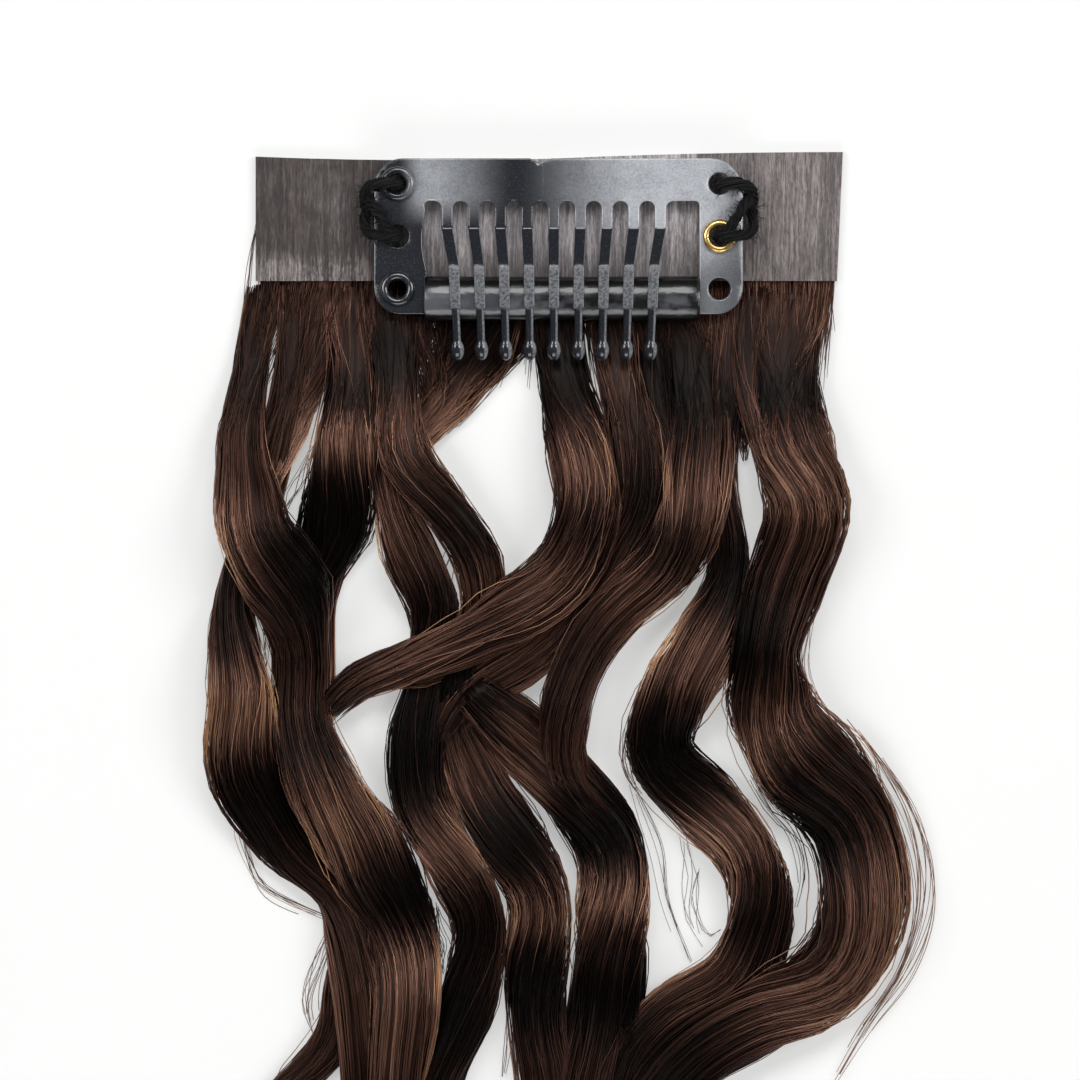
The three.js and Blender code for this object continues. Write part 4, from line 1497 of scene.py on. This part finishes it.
    def build(self) -> None:
        """Builds the roots, every lock and the strays, each as a piece of its own."""
        dressed = {"root_band": Skins()}
        self.root_band(dressed["root_band"])
        for number, piece in enumerate(LOCKS):
            skins = dressed.setdefault("lock_" + piece.name, Skins())
            flow = self.flow(piece)
            clumps = Clumps.of(flow, number)
            self._core(skins, flow, piece, clumps)
            self._strands(skins, flow, piece, clumps)
        self.strays(dressed.setdefault("stray_strands", Skins()))
        finish = HairFinish().material()
        for name, skins in dressed.items():
            declare(show(name, skins.mesh(name), finish), Body.WEFT, Slot.HAIR, "hair")


@dataclass
class Sheet:
    """Sheet metal cut to an outline, with rounded edges, gently domed and cross-cut so it can bend."""

    thickness: float
    edge: float = 0.11 * MM
    cell: float = 0.7 * MM

    def mesh(self, name: str, outline: Sequence[Sequence[float]], holes: Sequence[tuple[float, float, float]],
             height: Callable[[float, float], float]) -> bpy.types.Mesh:
        """Makes the sheet.

        Args:
            name: The mesh's name.
            outline: The points of its outline.
            holes: The x, y and radius of each hole.
            height: The height of the sheet's middle at a place.

        Returns:
            The mesh.
        """
        curve = bpy.data.curves.new(name, "CURVE")
        curve.dimensions = "2D"
        curve.fill_mode = "BOTH"
        curve.extrude = self.thickness / 2 - self.edge
        curve.bevel_depth = self.edge
        curve.bevel_resolution = 2
        curve.offset = -self.edge
        rings = [list(outline)]
        for x, y, radius in holes:
            angles = np.linspace(0, 2 * math.pi, 40, endpoint=False)
            rings.append([(x + radius * math.cos(a), y + radius * math.sin(a)) for a in angles])
        for ring in rings:
            spline = curve.splines.new("POLY")
            spline.points.add(len(ring) - 1)
            for point, (x, y) in zip(spline.points, ring):
                point.co = (x, y, 0.0, 1.0)
            spline.use_cyclic_u = True
        holder = bpy.data.objects.new(name, curve)
        bpy.context.scene.collection.objects.link(holder)
        mesh = bpy.data.meshes.new_from_object(holder)
        bpy.data.objects.remove(holder)
        self._cut(mesh, outline, height)
        mesh.name = name
        return mesh

    def _cut(self, mesh: bpy.types.Mesh, outline: Sequence[Sequence[float]],
             height: Callable[[float, float], float]) -> None:
        """Cuts the flat faces into cells and lifts them.

        Args:
            mesh: The flat sheet.
            outline: The points of its outline.
            height: The height of the sheet's middle at a place.
        """
        shape = bmesh.new()
        shape.from_mesh(mesh)
        bmesh.ops.remove_doubles(shape, verts=shape.verts, dist=0.002 * MM)
        bounds = np.array(outline)
        for axis in (0, 1):
            low, high = bounds[:, axis].min(), bounds[:, axis].max()
            normal = (1.0, 0.0, 0.0) if axis == 0 else (0.0, 1.0, 0.0)
            for place in np.arange(low + self.cell, high - self.cell / 2, self.cell):
                spot = (place, 0.0, 0.0) if axis == 0 else (0.0, place, 0.0)
                whole = [*shape.verts, *shape.edges, *shape.faces]
                bmesh.ops.bisect_plane(shape, geom=whole, dist=0.004 * MM, plane_co=spot, plane_no=normal)
        for vertex in shape.verts:
            vertex.co.z += height(vertex.co.x, vertex.co.y)
        bmesh.ops.recalc_face_normals(shape, faces=shape.faces)
        for face in shape.faces:
            face.smooth = True
        shape.to_mesh(mesh)
        shape.free()


def arc(x: float, y: float, radius: float, start: float, end: float, steps: int = 10) -> list[Span]:
    """Points on an arc.

    Args:
        x: The arc's middle.
        y: The arc's middle.
        radius: Its radius.
        start: The angle where it starts, in degrees.
        end: The angle where it ends.
        steps: How many stretches it has.

    Returns:
        The points.
    """
    angles = np.radians(np.linspace(start, end, steps + 1))
    return [(x + radius * math.cos(a), y + radius * math.sin(a)) for a in angles]


@dataclass
class SnapClip:
    """The snap comb: end plates, top bar with teeth, tube and eyelets, in the solids' own sizes."""

    top: float = 5.15 * MM
    foot: float = -8.35 * MM
    left: float = -15.2 * MM
    right: float = 16.8 * MM
    window_left: float = -10.8 * MM
    window_right: float = 13.0 * MM
    corner: float = 2.3 * MM
    level: float = 2.35 * MM
    sheet: float = 0.5 * MM
    gap: float = 0.3 * MM
    hole_left: float = -13.15 * MM
    hole_right: float = 14.75 * MM
    hole_rows: tuple[float, float, float] = (2.95 * MM, -1.6 * MM, -6.15 * MM)
    eyelet_hole: float = 1.2 * MM
    thread_hole: float = 0.95 * MM
    bar_foot: float = 1.45 * MM
    fold: float = -0.95 * MM
    crown: float = -4.25 * MM
    strip_end: float = -7.85 * MM
    tip: float = -11.45 * MM
    crown_level: float = 4.25 * MM
    tip_sink: float = 1.35 * MM
    teeth: int = 9
    tooth_middle: float = 0.4 * MM
    root_pitch: float = 2.31 * MM
    crown_pitch: float = 2.16 * MM
    tip_pitch: float = 2.09 * MM
    tooth: float = 1.0 * MM
    root: float = 0.98 * MM
    fillet: float = 0.66 * MM
    bulge: float = 0.42 * MM
    pin: float = 0.35 * MM
    tip_radius: float = 0.6 * MM
    tip_stretch: float = 1.6
    crease: float = -0.7 * MM
    notch: float = 0.95 * MM
    lap: float = 0.25 * MM
    lift: float = 0.006 * MM
    bend: float = 1.6 * MM
    bow: float = 0.12 * MM
    bow_span: float = 16 * MM
    dent: float = 0.07 * MM
    dent_reach: float = 1.3 * MM
    notch_depth: float = 0.5 * MM
    tube_y: float = -7.0 * MM
    tube_size: tuple[float, float] = (1.95 * MM, 1.35 * MM)
    tube_wall: float = 0.75 * MM
    bar_width: float = 1.3 * MM

    def tooth_x(self, number: int, y: float) -> float:
        """The x of a tooth at a height y.

        Args:
            number: The tooth, counted from the left.
            y: The height.

        Returns:
            The x of its middle.
        """
        folded = min(max((self.fold - y) / (self.fold - self.crown), 0.0), 1.0)
        passed = min(max((self.crown - y) / (self.crown - self.tip), 0.0), 1.0)
        pitch = self.root_pitch + (self.crown_pitch - self.root_pitch) * folded
        pitch += (self.tip_pitch - pitch) * passed
        return self.tooth_middle + (number - (self.teeth - 1) / 2) * pitch

    def _bow(self, x: float, y: float) -> float:
        """The sheet's height: a slight bow along it, dipping at the crease in its top edge.

        Args:
            x: The place along it.
            y: The place across it.

        Returns:
            The height of its middle.
        """
        off = abs(x - self.crease)
        span = (x - self.crease) / self.bow_span
        near_top = smooth_step(y, 0.0, self.top)
        dent = -self.dent * math.exp(-(off / self.dent_reach) ** 2) * near_top
        return self.level + dent - self.bow * span**2 * near_top

    def _slots(self, first: int, last: int, start: float, end: float) -> list[tuple[float, float]]:
        """The lower edge of the top bar with its short roots of teeth, from left to right.

        Args:
            first: The first tooth.
            last: The one after the last.
            start: The x where the edge starts.
            end: The x where it ends.

        Returns:
            The points.
        """
        foot, r, half = self.bar_foot, self.fillet, self.root / 2
        points = [(start, foot)]
        for number in range(first, last):
            x = self.tooth_x(number, self.fold)
            points += arc(x - half - r, foot - r, r, 90, 0, 8)
            points += [(x - half, self.fold), (x + half, self.fold)]
            points += arc(x + half + r, foot - r, r, 180, 90, 8)
        points.append((end, foot))
        return points

    def _half(self, name: str, finish: bpy.types.Material, right: bool) -> bpy.types.Object:
        """One end plate with its half of the top bar, bowed a little along the bar and dipped at the crease.

        Args:
            name: The piece's name.
            finish: Its material.
            right: Whether it is the right half.

        Returns:
            The piece.
        """
        c, top, foot, dip = self.corner, self.top, self.foot, self.top - self.notch_depth
        round_in = self.fillet * 0.6
        thread, shank = self.thread_hole, self.eyelet_hole
        if right:
            lower = self._slots(4, self.teeth, self.crease, self.window_right - round_in)[1:]
            rim = arc(self.window_right - round_in, self.bar_foot - round_in, round_in, 90, 0, 5)
            outline = [*lower[:-1], *rim, (self.window_right, foot)]
            outline += arc(self.right - c, foot + c, c, -90, 0)
            outline += arc(self.right - c * 1.25, top - c * 1.25, c * 1.25, 0, 90)
            outline += [(self.crease + self.notch, top), (self.crease, dip)]
            x, radii, shift = self.hole_right, (thread, thread, thread), 0.0
        else:
            lower = self._slots(0, 4, self.window_left + round_in, self.crease + self.lap)
            rim = arc(self.window_left + round_in, self.bar_foot - round_in, round_in, 180, 90, 5)
            outline = [*rim, *lower[1:]]
            outline += [(self.crease + self.lap, dip), (self.crease, dip), (self.crease - self.notch, top)]
            outline += arc(self.left + c * 1.1, top - c * 1.1, c * 1.1, 90, 180)
            outline += arc(self.left + c, foot + c, c, 180, 270)
            outline += [(self.window_left, foot)]
            rise, shelf = rim[0][1], self.crown - 0.4 * MM
            for share in np.linspace(0, 0.95, 14):
                inset = 0.5 * self.bulge - self.bulge * math.sin(math.pi * share)
                outline.append((self.window_left + inset * (1 - share**6), shelf + (rise - shelf) * share))
            x, radii, shift = self.hole_left, (shank, thread, shank), self.lift
        holes = [(x, row, radius) for row, radius in zip(self.hole_rows, radii)]
        mesh = Sheet(self.sheet).mesh(name, outline, holes, lambda x, y: self._bow(x, y) + shift)
        piece = show(name, mesh, finish)
        weighted = piece.modifiers.new("normals", "WEIGHTED_NORMAL")
        weighted.keep_sharp = True
        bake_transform(piece)
        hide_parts("clip_frame", "comb")
        return piece

    def _strip(self, skins: Skins, number: int) -> None:
        """One flat tooth from its fold, up and over the tube, with rounded edges.

        Args:
            skins: What it is added to.
            number: The tooth.
        """
        half, r = self.tooth / 2 * 0.96, 0.09 * MM
        thick = self.sheet / 2 * 0.98
        rise = self.crown_level - self.level
        rows = [(self.fold + 0.25 * MM, 0.0), (self.fold + 0.03 * MM, 0.0), (self.fold - 0.12 * MM, 0.05)]
        rows += [(self.fold + (self.crown - self.fold) * s, s) for s in (0.15, 0.4, 0.65, 0.85, 0.95)]
        rows += [(self.crown - 0.15 * MM, 1.0), (self.crown - 0.6 * MM, 1.0)]
        rows += [(self.crown + (self.strip_end - self.crown) * s, 1.0) for s in (0.4, 0.6, 0.8, 0.95)]
        rows += [(self.strip_end - 0.06 * MM, 1.0)]
        section = []
        for x, z, start in ((half, thick, 0), (-half, thick, 90), (-half, -thick, 180), (half, -thick, 270)):
            section += arc(x - math.copysign(r, x), z - math.copysign(r, z), r, start, start + 90, 3)
        rings = []
        for k, (y, share) in enumerate(rows):
            level = self.level + rise * share
            narrow = 0.86 if k == len(rows) - 1 else 1.0 - 0.06 * share
            middle = self.tooth_x(number, y)
            rings.append([(middle + x * narrow, y, level + z * narrow) for x, z in section])
        skins.rings(np.array(rings)[None], np.full((1, len(rows)), 0.5), np.array([0.5]))

    def _pin(self, skins: Skins, number: int) -> None:
        """The round end of a tooth with its drop-shaped tip.

        Args:
            skins: What it is added to.
            number: The tooth.
        """
        start_y = self.strip_end + self.tip_radius
        start = np.array([self.tooth_x(number, start_y), start_y, self.crown_level])
        end = np.array([self.tooth_x(number, self.tip), self.tip, self.crown_level - self.tip_sink])
        length = float(np.linalg.norm(end - start))
        along = (end - start) / length
        over = UP - along * along[2]
        over /= np.linalg.norm(over)
        across = np.cross(along, over)
        half = self.tip_radius * self.tip_stretch
        profile = [(0.02 * MM, 0.5), (0.3 * MM, 0.95), (0.9 * MM, 1.0)]
        rings = [(place, self.pin * share) for place, share in profile]
        neck = math.asin(self.pin / self.tip_radius)
        rings += [(length - half * math.cos(neck) - gap, self.pin * share)
                  for gap, share in ((0.9 * MM, 0.98), (0.35 * MM, 0.98))]
        for angle in np.linspace(neck, math.pi - 0.08, 10):
            rings.append((length - half * math.cos(angle), self.tip_radius * math.sin(angle)))
        sides = 16
        angles = np.arange(sides) / sides * 2 * math.pi
        ring = np.cos(angles)[:, None] * across + np.sin(angles)[:, None] * over
        points = np.array([start + along * place + ring * radius for place, radius in rings])
        skins.rings(points[None], np.full((1, len(rings)), 0.5), np.array([0.5]))

    def _tooth_pieces(self, finish: bpy.types.Material) -> None:
        """The strips and pins of all the teeth.

        Args:
            finish: Their material.
        """
        skins = Skins()
        for number in range(self.teeth):
            self._strip(skins, number)
            self._pin(skins, number)
        mesh = skins.mesh("comb_teeth")
        mesh.set_sharp_from_angle(angle=math.radians(40))
        declare(show("comb_teeth", mesh, finish), Body.COMB, Slot.PAINT, "comb")

    def _tube(self, finish: bpy.types.Material) -> None:
        """The soft tube round its bar, flared a little at its ends.

        Args:
            finish: Its material.
        """
        start, end = self.window_left, self.window_right - 0.1 * MM
        length = end - start
        wide, high = self.tube_size
        wall, lip = self.tube_wall, 0.12 * MM
        places = [(0.0, -lip), (lip * 0.3, -lip * 0.3), (lip, 0.0), (1.2 * MM, 0.0), (2.6 * MM, 0.0)]
        profile = [(start + along, size) for along, size in places]
        middle = np.linspace(start + 3.4 * MM, end - 3.4 * MM, 16)
        profile += [(x, -0.05 * MM * math.sin(math.pi * (x - start) / length)) for x in middle]
        profile += [(end - along, size) for along, size in reversed(places)]
        profile += [(end - lip, -wall), (start + lip, -wall)]
        sides = 56
        angles = np.arange(sides) / sides * 2 * math.pi
        y, z = self.tube_y, self.level
        rings = [
            [(x, y + (wide + size) * math.cos(a), z + (high + size) * math.sin(a)) for a in angles]
            for x, size in profile
        ]
        mesh = looped_skin("tube_sleeve", rings, sharp=50)
        declare(show("tube_sleeve", mesh, finish), Body.WEFT, Slot.RUBBER, "rubber_tube")

    def _tube_bar(self, finish: bpy.types.Material) -> None:
        """The flat bar inside the tube, from plate to plate.

        Args:
            finish: Its material.
        """
        left, right = self.window_left - 0.05 * MM, self.window_right + 0.05 * MM
        lower, upper = self.tube_y - self.bar_width / 2, self.tube_y + self.bar_width / 2
        outline = [(left, lower), (right, lower), (right, upper), (left, upper)]
        mesh = Sheet(self.sheet * 0.98, cell=4 * MM).mesh("tube_bar", outline, [], lambda x, y: self.level)
        declare(show("tube_bar", mesh, finish), Body.WEFT, Slot.PAINT, "clip_frame")

    def _eyelet(self, name: str, node: str, x: float, y: float, bore: float, shank: float, rim: float,
                finish: bpy.types.Material, slot: Slot) -> None:
        """One eyelet, its rims rolled on both sides of the sheet.

        Args:
            name: The piece's name.
            node: The node that it stands for.
            x: Its middle.
            y: Its middle.
            bore: The radius of its bore.
            shank: The radius of its shank.
            rim: The radius of its rims.
            finish: Its material.
            slot: Its slot.
        """
        seat, roll = 0.4 * MM, 0.36 * MM
        middle = (bore + rim) / 2
        half = (rim - bore) / 2
        upper = [(rim - 0.02 * MM, seat)]
        upper += [(middle + half * math.cos(a), seat + 0.04 * MM + (roll - 0.04 * MM) * math.sin(a))
                  for a in np.linspace(0.05, math.pi - 0.35, 14)]
        upper += [(bore, seat * 0.45)]
        lower = [(radius, -height) for radius, height in reversed(upper)]
        profile = [*upper, *lower, (shank, -seat), (shank, seat)]
        sides = 48
        angles = [k / sides * 2 * math.pi for k in range(sides)]
        rings = [
            [(x + radius * math.cos(a), y + radius * math.sin(a), self.level + height) for a in angles]
            for radius, height in profile
        ]
        mesh = looped_skin(name, rings, sharp=45)
        declare(show(name, mesh, finish), Body.WEFT, slot, node)

    def build(self) -> None:
        """Builds the sheet's halves, the teeth, the tube and the eyelets."""
        plain = PaintFinish().material(worn=False)
        self._half("sheet_left", plain, right=False)
        self._half("sheet_right", plain, right=True)
        self._tooth_pieces(PaintFinish().material(worn=True))
        self._tube_bar(plain)
        self._tube(RubberFinish().material())
        upper, middle, lower = self.hole_rows
        black = {"bore": 0.78 * MM, "shank": 1.05 * MM, "rim": 1.5 * MM, "finish": plain}
        black["slot"] = Slot.BLACK_EYELET
        self._eyelet("ring_upper_left", "eyelet_upper_left", self.hole_left, upper, **black)
        self._eyelet("ring_lower_left", "eyelet_lower_left", self.hole_left, lower, **black)
        brass = BrassFinish().material()
        self._eyelet("ring_right", "eyelet_right", self.hole_right, middle, 0.8 * MM, 1.07 * MM, 1.47 * MM,
                     brass, Slot.BRASS_EYELET)


@dataclass
class Stitches:
    """The two stitches that sew the clip to the weft, as bundles of fuzzy thread."""

    clip: SnapClip
    radius: float = 0.42 * MM
    swing: float = 0.75 * MM
    weft: float = 0.6 * MM

    def _brace(self, x: float, edge: float, top: float) -> np.ndarray:
        """The second pass of one stitch, from the lower hole slantwise up to the clip's end.

        Args:
            x: The x of the holes.
            edge: The x of the clip's end.
            top: Its height over the sheet.

        Returns:
            The points.
        """
        end = self.clip.hole_rows[1]
        level = self.clip.level
        out = edge + math.copysign(self.swing * 0.7, edge - x)
        return np.array([
            (x, end + 0.1 * MM, level), (x + (edge - x) * 0.25, end + 0.35 * MM, top),
            (x + (edge - x) * 0.7, end + 1.5 * MM, top), (edge, end + 2.6 * MM, top - 0.2 * MM),
            (out, end + 3.2 * MM, level), (edge, end + 3.4 * MM, level - 0.9 * MM),
        ])

    def _route(self, x: float, edge: float, tops: tuple[float, float]) -> np.ndarray:
        """The way of one stitch, from hole to hole over the clip's end.

        Args:
            x: The x of the holes.
            edge: The x of the clip's end.
            tops: Its height over the sheet beside the upper and the lower hole.

        Returns:
            The points.
        """
        start, end = self.clip.hole_rows[0], self.clip.hole_rows[1]
        gap, level = self.clip.gap, self.clip.level
        out = edge + math.copysign(self.swing, edge - x)
        between = (x + edge) / 2
        third = (start - end) / 3
        foot = self.weft + gap + self.radius * 0.2
        near = x + (between - x) * 0.3
        far = between + (edge - between) * 0.6
        return np.array([
            (x, start, foot), (x, start, level), (near, start, tops[0]), (far, start, tops[0]),
            (out, start - third * 0.4, level), (out, (start + end) / 2, self.weft + gap + self.radius * 1.6),
            (out, end + third * 0.4, level), (far, end, tops[1]), (near, end, tops[1]),
            (x, end, level), (x, end, foot),
        ])

    def _bundle(self, name: str, node: str, route: np.ndarray, brace: np.ndarray, seed: int,
                finish: bpy.types.Material) -> None:
        """One stitch.

        Args:
            name: The piece's name.
            node: The node that it stands for.
            route: Its way.
            brace: The way of its second pass.
            seed: What its chance draws start from.
            finish: Its material.
        """
        draw = np.random.default_rng(seed)
        skins = Skins()
        self._ply(skins, route, 90, 44, draw)
        self._ply(skins, brace, 40, 34, draw)
        declare(show(name, skins.mesh(name), finish), Body.WEFT, Slot.THREAD, node)

    def _ply(self, skins: Skins, route: np.ndarray, steps: int, plies: int,
             draw: np.random.Generator) -> None:
        """Adds a twisted bundle along a route, with its lint.

        Args:
            skins: What it is added to.
            route: Its way.
            steps: How many stretches it has.
            plies: How many threads it has.
            draw: The chance draws.
        """
        line, _ = even_curve(route, steps)
        along = np.gradient(line, axis=0)
        along = unit(along)
        across = np.cross(along, np.array([0.0, 1.0, 0.25]))
        across /= np.maximum(np.linalg.norm(across, axis=1, keepdims=True), 1e-9)
        over = np.cross(across, along)
        t = np.linspace(0, 1, steps)[None]
        chances = Chances(draw, plies)
        angle = chances.even(0, 2 * math.pi) + t * chances.even(9, 15)
        wander = chances.wave(t, 2, 6)
        reach = self.radius * np.sqrt(chances.even(0.05, 1.1)) * (0.9 + 0.25 * wander)
        paths = line + (np.cos(angle) * reach)[..., None] * across + (np.sin(angle) * reach)[..., None] * over
        tones = np.clip(chances.normal(0.4, 0.25), 0, 1) * np.ones((1, steps))
        skins.tubes(paths, np.full((plies, steps), 0.075 * MM), tones, np.full(plies, 0.5), sides=4)
        lint = steps * 5
        pick = draw.integers(4, steps - 4, lint)
        bits = 7
        ways = draw.normal(0, 1, (lint, 1, 3))
        ways /= np.linalg.norm(ways, axis=2, keepdims=True)
        curl = draw.normal(0, 1, (lint, 1, 3)) * 0.3 * MM
        run = np.linspace(0, 1, bits)[None, :, None]
        length = draw.uniform(0.1, 1.0, (lint, 1, 1)) ** 1.6 * MM
        hairs = line[pick][:, None] + ways * (self.radius * 0.7 + run * length) + curl * run**2
        hairs[..., 2] = np.maximum(hairs[..., 2], self.weft + 0.05 * MM)
        skins.tubes(hairs, np.full((lint, bits), 0.02 * MM), np.full((lint, bits), 0.7), np.full(lint, 0.5))

    def build(self) -> None:
        """Builds both stitches."""
        finish = ThreadFinish().material()
        sheet_top = self.clip.level + self.clip.sheet / 2
        over_plate = sheet_top + self.clip.gap + self.radius
        over_rim = over_plate + self.clip.gap / 2 + 0.36 * MM
        left = self._route(self.clip.hole_left, self.clip.left, (over_rim, over_plate))
        right = self._route(self.clip.hole_right, self.clip.right, (over_plate, over_rim))
        left_brace = self._brace(self.clip.hole_left, self.clip.left, over_plate)
        right_brace = self._brace(self.clip.hole_right, self.clip.right, over_plate + 0.2 * MM)
        self._bundle("thread_left", "stitch_left", left, left_brace, Seed.THREAD_LEFT, finish)
        self._bundle("thread_right", "stitch_right", right, right_brace, Seed.THREAD_RIGHT, finish)


@dataclass
class Weft:
    """The film strip."""

    def build(self) -> None:
        """Dresses the strip's own solid."""
        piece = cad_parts["weft_tape"]
        piece.data.materials.clear()
        piece.data.materials.append(FilmFinish().material())
        LOG.info("weft_tape: dressed")


class Lamp(NamedTuple):
    """One soft light."""

    name: str
    place: tuple[float, float, float]
    size: tuple[float, float]
    watts: float


@dataclass
class Studio:
    """The pale floor, the soft lights and the camera."""

    view_width: float = 93.9 * MM
    view_middle: tuple[float, float] = (-0.8 * MM, -27.9 * MM)
    camera_height: float = 0.6
    sensor: float = 36.0
    ambient: float = 0.10
    lamps: tuple[Lamp, ...] = (
        Lamp("left_softbox", (-0.52, 0.12, 0.60), (0.30, 0.4), 2.6),
        Lamp("right_softbox", (0.52, 0.12, 0.60), (0.30, 0.4), 2.9),
        Lamp("far_softbox", (0.0, 0.42, 0.70), (0.5, 0.30), 3.4),
        Lamp("near_softbox", (0.0, -0.68, 0.42), (0.6, 0.32), 2.2),
    )

    def build(self) -> None:
        """Makes the floor, the lights, the world and the camera."""
        self._floor()
        for lamp in self.lamps:
            self._lamp(lamp)
        self._world()
        self._camera()

    def _floor(self) -> None:
        """A wide pale sheet under the object."""
        mesh = bpy.data.meshes.new("floor")
        shape = bmesh.new()
        bmesh.ops.create_grid(shape, x_segments=4, y_segments=4, size=1.5)
        shape.to_mesh(mesh)
        shape.free()
        floor = show("floor", mesh, FloorFinish().material())
        floor.location.z = -0.01 * MM

    def _lamp(self, lamp: Lamp) -> None:
        """One area light, aimed at the object.

        Args:
            lamp: Its place, size and power.
        """
        data = bpy.data.lights.new(lamp.name, "AREA")
        data.shape = "RECTANGLE"
        data.size, data.size_y = lamp.size
        data.energy = lamp.watts
        light = bpy.data.objects.new(lamp.name, data)
        light.location = lamp.place
        aim = Vector((*self.view_middle, 0.0)) - Vector(lamp.place)
        light.rotation_euler = aim.to_track_quat("-Z", "Y").to_euler()
        bpy.context.scene.collection.objects.link(light)

    def _world(self) -> None:
        """An even pale surround."""
        world = bpy.data.worlds.new("studio")
        world.use_nodes = True
        background = world.node_tree.nodes["Background"]
        background.inputs["Color"].default_value = (1.0, 1.0, 1.0, 1.0)
        background.inputs["Strength"].default_value = self.ambient
        bpy.context.scene.world = world
        bpy.context.scene.view_settings.view_transform = "Standard"

    def _camera(self) -> None:
        """The camera straight above, framed as the photograph is."""
        data = bpy.data.cameras.new("camera")
        data.sensor_width = self.sensor
        data.lens = self.sensor * self.camera_height / self.view_width
        data.clip_start = 0.01
        camera = bpy.data.objects.new("camera", data)
        camera.location = (*self.view_middle, self.camera_height)
        bpy.context.scene.collection.objects.link(camera)
        bpy.context.scene.camera = camera


def main() -> None:
    """Builds the studio and every piece."""
    logging.basicConfig(level=logging.INFO, format="%(message)s")
    Studio().build()
    Weft().build()
    clip = SnapClip()
    clip.build()
    Stitches(clip).build()
    HairPiece().build()


if __name__ == "__main__":
    main()
